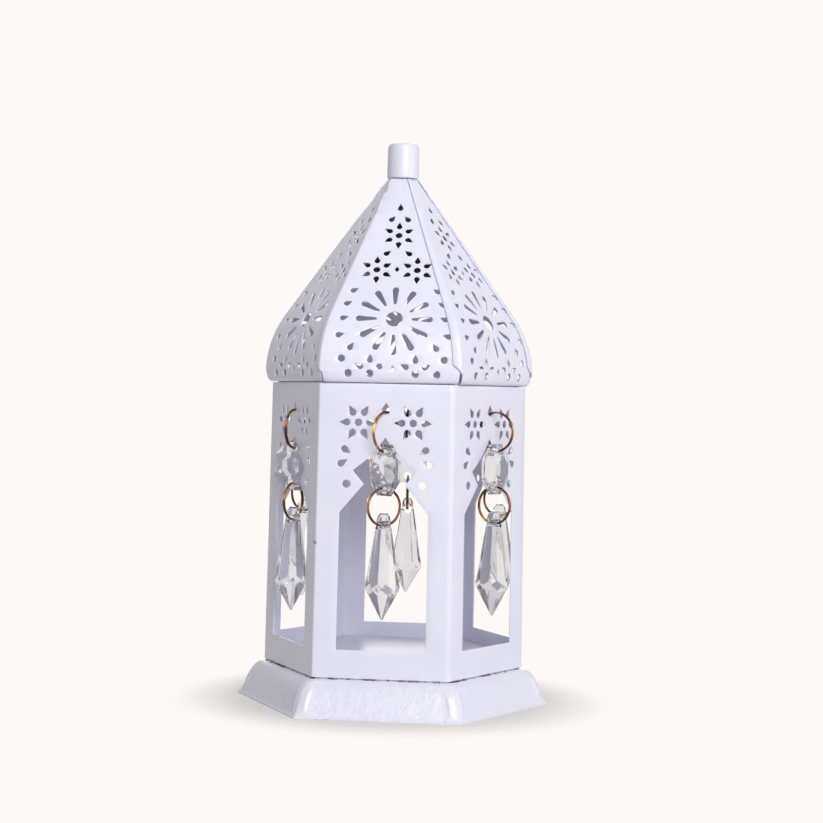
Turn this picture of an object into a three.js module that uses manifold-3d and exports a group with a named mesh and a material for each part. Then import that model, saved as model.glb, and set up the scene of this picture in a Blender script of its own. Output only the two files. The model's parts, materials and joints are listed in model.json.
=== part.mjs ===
// Hexagonal pierced-metal lantern with a lift-off roof, a light unit hung inside the
// dome, and six chains of cut-glass drops. Millimetres, +Z up, standing on z = 0, with
// its front wall facing -Y.
import * as THREE from 'three';
import { mergeGeometries, mergeVertices } from 'three/addons/utils/BufferGeometryUtils.js';
import Module from 'manifold-3d';

const wasm = await Module();
wasm.setup();

// Driving dimensions of the sheet metal
const SHEET = 0.5;
const GAP = 0.3;
const SIDES = 6;

// Base tray, as corner radii and heights of one stamped sheet
const BASE_LIP_RADIUS = 56.2;
const BASE_SKIRT_RADIUS = 54.9;
const BASE_LIP_HEIGHT = 1.5;
const BASE_SHOULDER_RADIUS = 52.3;
const BASE_SHOULDER_HEIGHT = 8.0;
const BASE_LEDGE_HEIGHT = 12.5;
const BASE_LEDGE_MARGIN = 1.0;
const FLOOR_RISE = 4.6;

// Walls, as side lengths of the outer hexagon
const WALL_HEIGHT = 100.3;
const WALL_BOTTOM_SIDE = 46.65;
const WALL_TOP_SIDE = 45.8;
const STRAP_LEG = 5.5;
const STRAP_END_MARGIN = 8;

// Window outline: its sill from the wall's lower edge, its arch from the wall's upper edge
const SILL_HEIGHT = 9.65;
const WINDOW_WIDTH = 30.3;
const ARCH_HEADROOM = 18.25;
const NOTCH_INSET = 8.1;
const NOTCH_RISE = 9.75;
const CUSP_OUTSET = 3.85;
const CUSP_RISE = 4.65;
const ARCH_RISE = 11.3;
const ARCH_BEND = 0.7;

// Small cut-outs in a wall
const STRIP_HEIGHT = 7.8;
const RING_HOLE_LENGTH = 4.0;
const RING_HOLE_WIDTH = 2.9;
const WALL_STAR_OFFSET = 9.4;
const WALL_STAR_RISE = 5.0;
const WALL_STAR_RADIUS = 4.7;
const WALL_DROP_LENGTH = 3.8;
const WALL_DROP_WIDTH = 2.4;
const WALL_DOT = 2.7;
const WALL_DOT_OUTSET = 2.1;
const WALL_CUT_DEPTH = 8;
// Pairs of drops beside the arch: outwards and upwards from its widest point, and the
// direction that the right one's tip points in
const WALL_DROP_PAIRS = [[2.4, 6.8, 215], [3.6, 2.6, 145]];

// Roof, a dome of six petals that are curved in one direction only
const ROOF_TURN = 2.8;
const RIM_OVERHANG = 1.75;
const RIM_TUCK = 3.6;
const RIM_BEND = { outward: 0.75, upward: 0.4, lean: 22 };
const LIP_WIDTH = 1.3;
const LIP_BEND = { outward: 0.1, lean: 68 };
const DOME_RADIUS = 40;
const ROOF_SLOPE = 32;
const DOME_STEPS = 3;
const FLANGE_WIDTH = 3.7;
const FLANGE_ROOT = 1.2;
const FINIAL_RADIUS = 5.75;
const FINIAL_HEIGHT = 12.7;
const FINIAL_EDGE = 1.6;

// Small cut-outs in a petal, measured along the sheet from its widest line
const ROOF_DROP_LENGTH = 3.1;
const ROOF_DROP_WIDTH = 2.0;
const ROOF_DOT = 2.4;
const ROOF_STAR_RADIUS = 4.25;
const SUN_HEIGHT = 19;
const SUN_DISC = 5.7;
const SUN_RAYS = 12;
const SUN_INNER = 5.9;
const SUN_OUTER = 13.1;
const SUN_RAY_INNER_WIDTH = 1.0;
const SUN_RAY_OUTER_WIDTH = 2.2;
const DIAMOND_WIDTH = 2;
const DIAMOND_HEIGHT = 39.7;
const PETAL_CUT_DEPTH = 3.2;
const PETAL_STARS = [[0, 54.3], [-7, 39.4], [7, 39.4]];
const PETAL_DOT_PAIRS = [[17.4, 4.5], [15, -0.4]];
const MIDDLE_DROPS = [[0, 66.7], [0, 1.4]];
// Pairs of drops: across, upwards, and the direction that the right one's tip points in
const PETAL_DROP_PAIRS = [
  [2.6, 61.6, 100],
  [3.6, 46.7, 112],
  [14.1, 30.7, 150],
  [16, 25.2, 155],
  [17, 19.2, 160],
  [18.2, 12.8, 165],
  [14.3, 8.7, 125],
];
// A small flower on each side of the lower edge: a dot with three leaves round its top
const FLOWER_OFFSET = 7.7;
const FLOWER_DOT_HEIGHT = -0.4;
const FLOWER_LEAVES = [[0, 4.6, 90], [-3.7, 2.1, 145], [3.7, 2.1, 35]];

// Locating collar that drops into the top of the walls
const COLLAR_DEPTH = 6;
const COLLAR_PLAY = 0.3;

// Stud, nuts and light unit inside the dome
const STUD_RADIUS = 1.5;
const STUD_BORE_DEPTH = 9;
const NUT_ACROSS_FLATS = 5.5;
const NUT_HEIGHT = 2.4;
const APEX_WASHER_DROP = 4.4;
const APEX_WASHER_THICKNESS = 0.8;
const HOUSING_DROP = 15.5;
const HOUSING_RADIUS = 11.5;
const HOUSING_HEIGHT = 21;
const HOUSING_WALL = 1.2;
const COVER_THICKNESS = 1.5;
const COVER_SPIGOT = 1.8;
const CELL_RADIUS = 10;
const CELL_THICKNESS = 3.2;
const CELL_DROP = 7.3;
const CONTACT_WIDTH = 4;
const CONTACT_LENGTH = 12;
const CONTACT_THICKNESS = 0.4;
const BOARD_RADIUS = 8;
const BOARD_THICKNESS = 1.2;
const BOARD_DROP = 13;
const LED_RADIUS = 2.5;
const LED_FLANGE = 2.9;
const LED_LENGTH = 8.6;
const SWITCH_WIDTH = 2;
const SWITCH_HEIGHT = 3.4;
const SWITCH_TRAVEL = 2.5;
const SWITCH_STAND_OUT = 1.1;
const SWITCH_DROP = 16.4;

// Glass chains
const WIRE_THICKNESS = 0.7;
const WIRE_WIDTH = 0.9;
const WALL_PLAY = 0.5;
const GLASS_PLAY = 0.9;
const UPPER_RING_RADIUS = 6.75;
const LOWER_RING_RADIUS = 6.35;
const RING_STEPS = 14;
const GLASS_HOLE = 1.5;
const BEAD_HEIGHT = 17.5;
const BEAD_WIDTH = 14.6;
const BEAD_THICKNESS = 6.6;
const BEAD_GIRDLE = 1.3;
const BEAD_TABLE = 4.0;
const BEAD_HOLE_INSET = 2.7;
const DROP_LENGTH = 36.4;
const DROP_RADIUS = 6.3;
const DROP_NECK_RADIUS = 2.3;
const DROP_HEAD_RADIUS = 2.8;
const DROP_HOLE_INSET = 4.2;
const DROP_WIDEST = 0.7;

// How each chain hangs, in degrees: the lean of its upper ring away from the wall, and
// the turn of its upper ring, bead, lower ring and drop about the vertical. Where the
// lean is 0, the bead is turned so far that it sits in the window's arch.
const CHAINS = [
  { face: 'front', lean: 0, turns: [-30, -41, -52, -57] },
  { face: 'front_right', lean: 24, turns: [0, -2, 0, 5] },
  { face: 'rear_right', lean: 25, turns: [4, 2, -2, -8] },
  { face: 'rear', lean: 29, turns: [-3, 1, 5, 10] },
  { face: 'rear_left', lean: 25, turns: [3, -2, -6, -1] },
  { face: 'front_left', lean: 0, turns: [40, 45, 38, 40] },
];

// Values worked out from the driving dimensions
const HALF_FACE = Math.PI / SIDES;
const TAN = Math.tan(HALF_FACE);
const COS = Math.cos(HALF_FACE);
const rad = THREE.MathUtils.degToRad;
const wallBottom = BASE_LEDGE_HEIGHT + GAP;
const wallTop = wallBottom + WALL_HEIGHT;
const wallBottomApothem = WALL_BOTTOM_SIDE * COS;
const wallTopApothem = WALL_TOP_SIDE * COS;
const windowSill = wallBottom + SILL_HEIGHT;
const archApex = wallTop - ARCH_HEADROOM;
const cuspHeight = archApex - ARCH_RISE;
const notchHeight = cuspHeight - CUSP_RISE;
const ringHoleBottom = archApex + STRIP_HEIGHT;
const lipBottom = wallTop + GAP;
const rimHeight = lipBottom + RIM_TUCK;
const rimApothem = wallTopApothem + RIM_OVERHANG;
const apexApothem = FINIAL_RADIUS * COS;
const slope = rad(ROOF_SLOPE);
const domeEnd = {
  apothem: rimApothem - DOME_RADIUS * (1 - Math.cos(slope)),
  height: rimHeight + DOME_RADIUS * Math.sin(slope),
};
const apexHeight = domeEnd.height + (domeEnd.apothem - apexApothem) / Math.tan(slope);
const housingTop = apexHeight - HOUSING_DROP;
const housingBottom = housingTop - HOUSING_HEIGHT;

const looks = {
  white: { color: 0xe9e9f3, roughness: 0.42, metalness: 0.05 },
  brass: { color: 0x9a6534, roughness: 0.3, metalness: 0.9 },
  glass: { color: 0xf3f1ef, roughness: 0.06, metalness: 0, transparent: true, opacity: 0.45 },
  steel: { color: 0xb9bcc2, roughness: 0.35, metalness: 0.9 },
  black: { color: 0x17171a, roughness: 0.55, metalness: 0 },
  red: { color: 0xa51414, roughness: 0.45, metalness: 0 },
  green: { color: 0x1d5a37, roughness: 0.6, metalness: 0 },
  lens: { color: 0xfff1cf, roughness: 0.12, metalness: 0 },
};

// Closed solids and booleans
function signedVolume(position, index) {
  const a = new THREE.Vector3();
  const b = new THREE.Vector3();
  const c = new THREE.Vector3();
  let sum = 0;
  for (let i = 0; i < index.length; i += 3) {
    a.fromArray(position, index[i] * 3);
    b.fromArray(position, index[i + 1] * 3);
    c.fromArray(position, index[i + 2] * 3);
    sum += a.dot(b.cross(c));
  }
  return sum / 6;
}

function closed(geometry) {
  const bare = geometry.clone();
  bare.deleteAttribute('normal');
  bare.deleteAttribute('uv');
  const merged = mergeVertices(bare, 1e-4);
  const position = Float32Array.from(merged.attributes.position.array);
  const source = merged.index.array;
  const kept = [];
  for (let i = 0; i < source.length; i += 3) {
    const [p, q, r] = [source[i], source[i + 1], source[i + 2]];
    if (p !== q && q !== r && r !== p) kept.push(p, q, r);
  }
  if (signedVolume(position, kept) < 0) kept.reverse();
  return geometryOf(position, Uint32Array.from(kept));
}

function geometryOf(position, index) {
  const geometry = new THREE.BufferGeometry();
  geometry.setAttribute('position', new THREE.BufferAttribute(position, 3));
  geometry.setIndex(new THREE.BufferAttribute(index, 1));
  geometry.computeVertexNormals();
  return geometry;
}

function solid(geometry) {
  const body = closed(geometry);
  const mesh = new wasm.Mesh({
    numProp: 3,
    vertProperties: body.attributes.position.array,
    triVerts: body.index.array,
  });
  return new wasm.Manifold(mesh);
}

function backToGeometry(manifold) {
  const mesh = manifold.getMesh();
  return geometryOf(Float32Array.from(mesh.vertProperties), Uint32Array.from(mesh.triVerts));
}

function cut(geometry, cutters) {
  return backToGeometry(solid(geometry).subtract(solid(joined(cutters))));
}

function join(first, second) {
  return backToGeometry(solid(first).add(solid(second)));
}

function joined(list) {
  const bare = list.map((item) => {
    const copy = item.index ? item.toNonIndexed() : item.clone();
    copy.deleteAttribute('normal');
    copy.deleteAttribute('uv');
    return copy;
  });
  return mergeGeometries(bare);
}

// Shapes that repeat
function turned(points, segments = 24, start = 0) {
  const profile = points.map(([radius, height]) => new THREE.Vector2(radius, height));
  return new THREE.LatheGeometry(profile, segments, start).rotateX(Math.PI / 2);
}

function hexTurned(points) {
  return turned(points, SIDES, HALF_FACE);
}

function closedProfile(points) {
  return [...points, points[0]];
}

function disc(radius, bottom, thickness, bore = 0, segments = 16) {
  const top = bottom + thickness;
  if (bore === 0) return turned([[0, bottom], [radius, bottom], [radius, top], [0, top]], segments);
  const ring = [[bore, bottom], [radius, bottom], [radius, top], [bore, top]];
  return turned(closedProfile(ring), segments);
}

function block(width, depth, height, x, y, z) {
  return new THREE.BoxGeometry(width, depth, height).translate(x, y, z);
}

function capFaces(ring) {
  const normal = new THREE.Vector3();
  ring.forEach((point, i) => {
    const next = ring[(i + 1) % ring.length];
    normal.x += (point.y - next.y) * (point.z + next.z);
    normal.y += (point.z - next.z) * (point.x + next.x);
    normal.z += (point.x - next.x) * (point.y + next.y);
  });
  normal.normalize();
  const first = ring[1].clone().sub(ring[0]).projectOnPlane(normal).normalize();
  const second = normal.clone().cross(first);
  const flat = ring.map((point) => new THREE.Vector2(point.dot(first), point.dot(second)));
  const faces = THREE.ShapeUtils.triangulateShape(flat, []);
  const [i, j, k] = faces[0].map((n) => flat[n]);
  const turn = (j.x - i.x) * (k.y - i.y) - (j.y - i.y) * (k.x - i.x);
  return turn < 0 ? faces.map((face) => [...face].reverse()) : faces;
}

function loft(rings) {
  const count = rings[0].length;
  const position = rings.flat().flatMap((point) => point.toArray());
  const index = [];
  for (let r = 0; r + 1 < rings.length; r += 1) {
    for (let i = 0; i < count; i += 1) {
      const [a, b] = [r * count + i, r * count + ((i + 1) % count)];
      index.push(a, b, b + count, a, b + count, a + count);
    }
  }
  const last = (rings.length - 1) * count;
  capFaces(rings[0]).forEach(([a, b, c]) => index.push(c, b, a));
  capFaces(rings.at(-1)).forEach(([a, b, c]) => index.push(last + a, last + b, last + c));
  return geometryOf(Float32Array.from(position), Uint32Array.from(index));
}

// Outlines of the cut-outs, each centred on its own origin
function outline(points) {
  return new THREE.Shape(points.map(([x, y]) => new THREE.Vector2(x, y)));
}

function kite(length, width) {
  const shoulder = -0.2 * length;
  return [[0, length / 2], [-width / 2, shoulder], [0, -length / 2], [width / 2, shoulder]];
}

function drop(length, width) {
  const tail = -length / 2;
  const foot = 0.27 * width;
  const side = -0.12 * length;
  return [[0, length / 2], [-width / 2, side], [-foot, tail], [foot, tail], [width / 2, side]];
}

function dot(diameter, points = 5) {
  const step = (2 * Math.PI) / points;
  return Array.from({ length: points }, (_, i) => {
    const angle = (i + 0.5) * step;
    return [(diameter / 2) * Math.sin(angle), (diameter / 2) * Math.cos(angle)];
  });
}

function ray(length, inner, outer) {
  const [low, high] = [-length / 2, length / 2];
  return [[-inner / 2, low], [inner / 2, low], [outer / 2, high], [-outer / 2, high]];
}

// A hole is its outline, its place and the direction that its tip points in
function hole(points, u, v, pointing = 90) {
  return { points, u, v, pointing };
}

function star(shape, u, v, radius, first) {
  return Array.from({ length: 6 }, (_, i) => {
    const angle = first + i * 60;
    const [x, y] = [u + radius * Math.cos(rad(angle)), v + radius * Math.sin(rad(angle))];
    return hole(shape, x, y, angle);
  });
}

function bothSides(points, u, v, pointing = 90) {
  return [hole(points, u, v, pointing), hole(points, -u, v, 180 - pointing)];
}

// Walls
function wallApothem(height) {
  const share = (height - wallBottom) / WALL_HEIGHT;
  return wallBottomApothem + share * (wallTopApothem - wallBottomApothem);
}

function windowOutline() {
  const half = WINDOW_WIDTH / 2;
  const notch = half - NOTCH_INSET;
  const cusp = notch + CUSP_OUTSET;
  const middle = cuspHeight + ARCH_RISE / 2;
  const right = [
    [half, windowSill],
    [half, notchHeight - NOTCH_RISE],
    [notch, notchHeight],
    [cusp, cuspHeight],
    [cusp / 2 - ARCH_BEND, middle - ARCH_BEND],
  ];
  const left = right.map(([u, v]) => [-u, v]).reverse();
  return [...right, [0, archApex], ...left];
}

function wallHoles() {
  const petal = kite(WALL_DROP_LENGTH, WALL_DROP_WIDTH);
  const starHeight = archApex + WALL_STAR_RISE;
  const stars = [-1, 1].flatMap((side) => [
    hole(dot(WALL_DOT), side * WALL_STAR_OFFSET, starHeight),
    ...star(petal, side * WALL_STAR_OFFSET, starHeight, WALL_STAR_RADIUS, 0),
  ]);
  const ringHole = drop(RING_HOLE_LENGTH, RING_HOLE_WIDTH);
  const cusp = WINDOW_WIDTH / 2 - NOTCH_INSET + CUSP_OUTSET;
  const drops = WALL_DROP_PAIRS.flatMap(([out, up, pointing]) => {
    return bothSides(petal, cusp + out, cuspHeight + up, pointing);
  });
  return [
    ...stars,
    ...drops,
    hole(ringHole, 0, ringHoleBottom + RING_HOLE_LENGTH / 2),
    ...bothSides(dot(WALL_DOT), cusp + WALL_DOT_OUTSET, notchHeight),
  ];
}

function placedHole({ points, u, v, pointing }, depth) {
  const shape = new THREE.ExtrudeGeometry(outline(points), { depth, bevelEnabled: false });
  return shape.rotateZ(rad(pointing - 90)).translate(u, v, -depth / 2);
}

function wallCutters() {
  const upright = new THREE.Matrix4().makeBasis(
    new THREE.Vector3(1, 0, 0),
    new THREE.Vector3(0, 0, 1),
    new THREE.Vector3(0, -1, 0),
  );
  const cutters = wallHoles().map((item) => placedHole(item, WALL_CUT_DEPTH));
  cutters.push(placedHole(hole(windowOutline(), 0, 0), WALL_CUT_DEPTH));
  const whole = joined(cutters).applyMatrix4(upright);
  return whole.translate(0, -wallApothem(archApex), 0);
}

// Half of the walls is one strip folded into three faces, open at the left and right corners
function wallHalf() {
  const ringAt = (height) => {
    const outer = wallApothem(height) / COS;
    const inner = outer - SHEET / COS;
    const seam = GAP / 2;
    const corners = [Math.PI, (4 * Math.PI) / 3, (5 * Math.PI) / 3, 2 * Math.PI];
    const side = (radius) => corners.map((angle, i) => {
      const point = new THREE.Vector3(radius * Math.cos(angle), radius * Math.sin(angle), height);
      if (i === 0) point.set(-radius + seam * TAN, -seam, height);
      if (i === 3) point.set(radius - seam * TAN, -seam, height);
      return point;
    });
    return [...side(outer), ...side(inner).reverse()];
  };
  const shell = loft([ringAt(wallBottom), ringAt(wallTop)]);
  const cutters = [-1, 0, 1].map((turn) => wallCutters().rotateZ((turn * Math.PI) / 3));
  return cut(shell, cutters);
}

// A V-shaped strap bridges the two wall halves inside a corner
function seamStrap() {
  const ringAt = (height) => {
    const radius = wallApothem(height) / COS - (SHEET + GAP) / COS;
    const leg = (sign, inset) => {
      const x = radius - inset / COS;
      const reach = STRAP_LEG;
      return new THREE.Vector3(x - reach * Math.sin(HALF_FACE), sign * reach * COS, height);
    };
    return [
      leg(-1, 0),
      new THREE.Vector3(radius, 0, height),
      leg(1, 0),
      leg(1, SHEET),
      new THREE.Vector3(radius - SHEET / COS, 0, height),
      leg(-1, SHEET),
    ];
  };
  return loft([
    ringAt(wallBottom + STRAP_END_MARGIN),
    ringAt(wallTop - COLLAR_DEPTH - STRAP_END_MARGIN),
  ]);
}

// Base tray: lip, sloped skirt, rounded shoulder, ledge for the walls and raised floor
function baseTray() {
  const ledgeRadius = WALL_BOTTOM_SIDE + BASE_LEDGE_MARGIN;
  const floorRadius = WALL_BOTTOM_SIDE - (SHEET + GAP) / COS;
  const floorHeight = BASE_LEDGE_HEIGHT + FLOOR_RISE;
  const shoulderMiddle = [
    ledgeRadius + 0.72 * (BASE_SHOULDER_RADIUS - ledgeRadius),
    BASE_SHOULDER_HEIGHT + 0.66 * (BASE_LEDGE_HEIGHT - BASE_SHOULDER_HEIGHT),
  ];
  const outer = [
    [BASE_LIP_RADIUS, 0],
    [BASE_SKIRT_RADIUS, BASE_LIP_HEIGHT],
    [BASE_SHOULDER_RADIUS, BASE_SHOULDER_HEIGHT],
    shoulderMiddle,
    [ledgeRadius, BASE_LEDGE_HEIGHT],
    [floorRadius, BASE_LEDGE_HEIGHT],
    [floorRadius, floorHeight],
  ];
  const inset = SHEET / COS;
  const inner = outer.map(([radius, height], i) => {
    const down = i < 2 ? 0 : SHEET;
    return [radius - inset, height - down];
  });
  return hexTurned([[0, floorHeight], ...outer.reverse(), ...inner, [0, floorHeight - SHEET]]);
}

// Roof petals
function petalStations() {
  const stations = [
    { apothem: wallTopApothem - LIP_WIDTH - SHEET, height: lipBottom, lean: Math.PI / 2 },
    { apothem: wallTopApothem + LIP_BEND.outward, height: lipBottom, lean: rad(LIP_BEND.lean) },
    {
      apothem: wallTopApothem + RIM_BEND.outward * RIM_OVERHANG,
      height: lipBottom + RIM_BEND.upward * RIM_TUCK,
      lean: rad(RIM_BEND.lean),
    },
  ].map((station) => ({ ...station, outward: -1, rim: true }));
  for (let i = 0; i <= DOME_STEPS; i += 1) {
    const angle = (slope * i) / DOME_STEPS;
    stations.push({
      apothem: rimApothem - DOME_RADIUS * (1 - Math.cos(angle)),
      height: rimHeight + DOME_RADIUS * Math.sin(angle),
      lean: angle,
      outward: 1,
      rim: i === 0,
    });
  }
  stations.push({ apothem: apexApothem, height: apexHeight, lean: slope, outward: 1, rim: false });
  return stations;
}

const innerLap = (GAP + SHEET / 2) / Math.sin(2 * HALF_FACE);

// How far a flange's bend stands past the corner, so that it clears the next petal
function lapAt({ lean, outward }) {
  const level = outward > 0 ? SHEET / Math.cos(lean) : SHEET;
  return (level + GAP) / Math.sin(2 * HALF_FACE);
}

function innerFace({ apothem, height, lean, outward }) {
  return {
    apothem: apothem - SHEET * Math.cos(lean),
    height: height - outward * SHEET * Math.sin(lean),
  };
}

function at(u, n, z) {
  return new THREE.Vector3(u, -n, z);
}

// One section of a petal's sheet; its right edge ends short of the next petal's flange
function petalSection(station) {
  const { apothem, height } = station;
  const inner = innerFace(station);
  const seam = GAP / 2 / COS;
  return [
    at(apothem * TAN - lapAt(station), apothem, height),
    at(seam - apothem * TAN, apothem, height),
    at(seam - inner.apothem * TAN, inner.apothem, inner.height),
    at(inner.apothem * TAN - innerLap, inner.apothem, inner.height),
  ];
}

// One section of the flange that bends round the left corner and laps over the next petal
function flangeSection(station) {
  const { apothem, height, rim } = station;
  const inner = innerFace(station);
  const lap = lapAt(station);
  const full = lap + ((FLANGE_WIDTH - lap) * apothem) / rimApothem;
  const reach = apothem * TAN - (rim ? 1.3 * lap : full);
  const root = FLANGE_ROOT - apothem * TAN;
  const skin = SHEET / 5;
  const up = new THREE.Vector3(0, 0, 1);
  const lapped = (n) => at(reach, n, height).applyAxisAngle(up, -2 * HALF_FACE);
  return [
    at(root, apothem - skin, height),
    at(-apothem * TAN - lap, apothem, height),
    lapped(apothem + GAP + SHEET),
    lapped(apothem + GAP),
    at(-inner.apothem * TAN - lap, inner.apothem, inner.height),
    at(root, inner.apothem + skin, inner.height),
  ];
}

function sunRays() {
  const middle = (SUN_INNER + SUN_OUTER) / 2;
  const shape = ray(SUN_OUTER - SUN_INNER, SUN_RAY_INNER_WIDTH, SUN_RAY_OUTER_WIDTH);
  return Array.from({ length: SUN_RAYS }, (_, i) => {
    const angle = (i * 360) / SUN_RAYS;
    const u = middle * Math.cos(rad(angle));
    const v = SUN_HEIGHT + middle * Math.sin(rad(angle));
    return hole(shape, u, v, angle);
  });
}

function petalHoles() {
  const leaf = kite(ROOF_DROP_LENGTH, ROOF_DROP_WIDTH);
  const small = dot(ROOF_DOT);
  const stars = PETAL_STARS.flatMap(([u, v]) => [
    hole(small, u, v),
    ...star(leaf, u, v, ROOF_STAR_RADIUS, 30),
  ]);
  const flowers = [-FLOWER_OFFSET, FLOWER_OFFSET].flatMap((middle) => [
    hole(small, middle, FLOWER_DOT_HEIGHT),
    ...FLOWER_LEAVES.map(([u, v, pointing]) => hole(leaf, middle + u, v, pointing)),
  ]);
  return [
    ...stars,
    ...sunRays(),
    ...flowers,
    ...MIDDLE_DROPS.map(([u, v]) => hole(leaf, u, v)),
    ...PETAL_DROP_PAIRS.flatMap(([u, v, pointing]) => bothSides(leaf, u, v, pointing)),
    ...PETAL_DOT_PAIRS.flatMap(([u, v]) => bothSides(small, u, v)),
    hole(dot(SUN_DISC, 8), 0, SUN_HEIGHT),
    hole(dot(DIAMOND_WIDTH, 4), 0, DIAMOND_HEIGHT),
  ];
}

// The place on the sheet that lies a given length above its widest line
function onSheet(length) {
  const angle = Math.min(Math.max(length, 0) / DOME_RADIUS, slope);
  const rest = length - angle * DOME_RADIUS;
  const apothem = rimApothem - DOME_RADIUS * (1 - Math.cos(angle)) - rest * Math.sin(angle);
  const height = rimHeight + DOME_RADIUS * Math.sin(angle) + rest * Math.cos(angle);
  const along = new THREE.Vector3(0, Math.sin(angle), Math.cos(angle));
  const out = new THREE.Vector3(0, -Math.cos(angle), Math.sin(angle));
  const frame = new THREE.Matrix4().makeBasis(new THREE.Vector3(1, 0, 0), along, out);
  return frame.setPosition(0, -apothem, height);
}

function petalCutters() {
  return petalHoles().map((item) => {
    const shape = placedHole({ ...item, v: 0 }, PETAL_CUT_DEPTH);
    return shape.applyMatrix4(onSheet(item.v));
  });
}

function roofPetal() {
  const stations = petalStations();
  const sheet = loft(stations.map(petalSection));
  const flange = loft(stations.filter(({ outward }) => outward > 0).map(flangeSection));
  return cut(join(sheet, flange), petalCutters());
}

// Collar: turned by the roof's play, its corners still clear the walls
function roofCollar() {
  const cornerRoom = (wallTopApothem - SHEET) / Math.cos(HALF_FACE - rad(ROOF_TURN));
  const radius = cornerRoom - COLLAR_PLAY;
  const inner = radius - SHEET / COS;
  const lipEdge = (wallTopApothem - LIP_WIDTH - SHEET) / COS - GAP;
  const outer = Math.min(radius, lipEdge);
  const top = lipBottom + 2.5;
  const bottom = wallTop - COLLAR_DEPTH;
  const thickness = radius - inner;
  const profile = [[outer, bottom], [outer, top], [outer - thickness, top], [outer - thickness, bottom]];
  return hexTurned(closedProfile(profile));
}

function finial() {
  const bottom = apexHeight + GAP;
  const top = bottom + FINIAL_HEIGHT;
  const bore = STUD_RADIUS + GAP;
  const edge = FINIAL_RADIUS - FINIAL_EDGE;
  const bend = FINIAL_EDGE * (1 - Math.SQRT1_2);
  return turned([
    [0, top],
    [edge, top],
    [FINIAL_RADIUS - bend, top - bend],
    [FINIAL_RADIUS, top - FINIAL_EDGE],
    [FINIAL_RADIUS, bottom],
    [bore, bottom],
    [bore, bottom + STUD_BORE_DEPTH],
    [0, bottom + STUD_BORE_DEPTH],
  ], 14);
}

function stud() {
  const top = apexHeight + STUD_BORE_DEPTH;
  const bottom = housingTop - HOUSING_WALL - 2 * GAP - NUT_HEIGHT - 1;
  return disc(STUD_RADIUS, bottom, top - bottom, 0, 12);
}

function nut(bottom) {
  const outer = NUT_ACROSS_FLATS / 2 / COS;
  const bore = STUD_RADIUS + GAP;
  const top = bottom + NUT_HEIGHT;
  const body = hexTurned([[0, bottom], [outer, bottom], [outer, top], [0, top]]);
  return cut(body, [disc(bore, bottom - 1, NUT_HEIGHT + 2, 0, 12)]);
}

function apexWasher() {
  const top = apexHeight - APEX_WASHER_DROP;
  const bottom = top - APEX_WASHER_THICKNESS;
  const innerAt = (height) => {
    const apothem = apexApothem + (apexHeight - height) * Math.tan(slope);
    return (apothem - (SHEET + GAP) / Math.cos(slope)) / COS;
  };
  const profile = [[0, bottom], [innerAt(bottom), bottom], [innerAt(top), top], [0, top]];
  return cut(hexTurned(profile), [disc(STUD_RADIUS + GAP, bottom - 1, 3, 0, 12)]);
}

// Light unit: a cup-shaped housing with a coin cell, a board, a lamp and a slide switch
function housing() {
  const inner = HOUSING_RADIUS - HOUSING_WALL;
  const ceiling = housingTop - HOUSING_WALL;
  const bore = STUD_RADIUS + GAP;
  const profile = [
    [bore, housingTop],
    [HOUSING_RADIUS - 1, housingTop],
    [HOUSING_RADIUS, housingTop - 1],
    [HOUSING_RADIUS, housingBottom],
    [inner, housingBottom],
    [inner, ceiling],
    [bore, ceiling],
  ];
  const cup = turned(closedProfile(profile), 16);
  const slotHeight = SWITCH_HEIGHT + SWITCH_TRAVEL + 2 * GAP;
  const slotWidth = SWITCH_WIDTH + 2 * GAP;
  const slotMiddle = housingTop - SWITCH_DROP + SWITCH_TRAVEL / 2;
  const slot = block(2 * HOUSING_WALL + 2, slotWidth, slotHeight, -HOUSING_RADIUS, 0, slotMiddle);
  return cut(cup, [slot]);
}

function switchKnob() {
  const middle = housingTop - SWITCH_DROP;
  const outer = HOUSING_RADIUS + SWITCH_STAND_OUT;
  const plateOuter = HOUSING_RADIUS - HOUSING_WALL - GAP - 0.5;
  const plateThickness = 0.8;
  const plateInner = plateOuter - plateThickness;
  const length = outer - plateInner;
  const stem = block(length, SWITCH_WIDTH, SWITCH_HEIGHT, -outer + length / 2, 0, middle);
  const plateX = -plateOuter + plateThickness / 2;
  const plate = block(plateThickness, 2 * SWITCH_WIDTH, SWITCH_HEIGHT + 1, plateX, 0, middle);
  return join(stem, plate);
}

function batteryCover() {
  const bottom = housingBottom - GAP - COVER_THICKNESS;
  const seat = bottom + COVER_THICKNESS;
  const spigot = HOUSING_RADIUS - HOUSING_WALL - GAP;
  const bore = LED_RADIUS + GAP + 0.2;
  return turned(closedProfile([
    [bore, bottom],
    [HOUSING_RADIUS, bottom],
    [HOUSING_RADIUS, seat],
    [spigot, seat],
    [spigot, seat + COVER_SPIGOT],
    [spigot - HOUSING_WALL, seat + COVER_SPIGOT],
    [spigot - HOUSING_WALL, seat],
    [bore, seat],
  ]), 16);
}

function ledLamp() {
  const top = housingTop - BOARD_DROP - BOARD_THICKNESS - GAP;
  const collar = top - 1;
  const tip = top - LED_LENGTH;
  const shoulder = tip + LED_RADIUS;
  return turned([
    [0, top],
    [LED_FLANGE, top],
    [LED_FLANGE, collar],
    [LED_RADIUS, collar],
    [LED_RADIUS, shoulder],
    [LED_RADIUS * Math.SQRT1_2, shoulder - LED_RADIUS * Math.SQRT1_2],
    [0, tip],
  ], 12);
}

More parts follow.
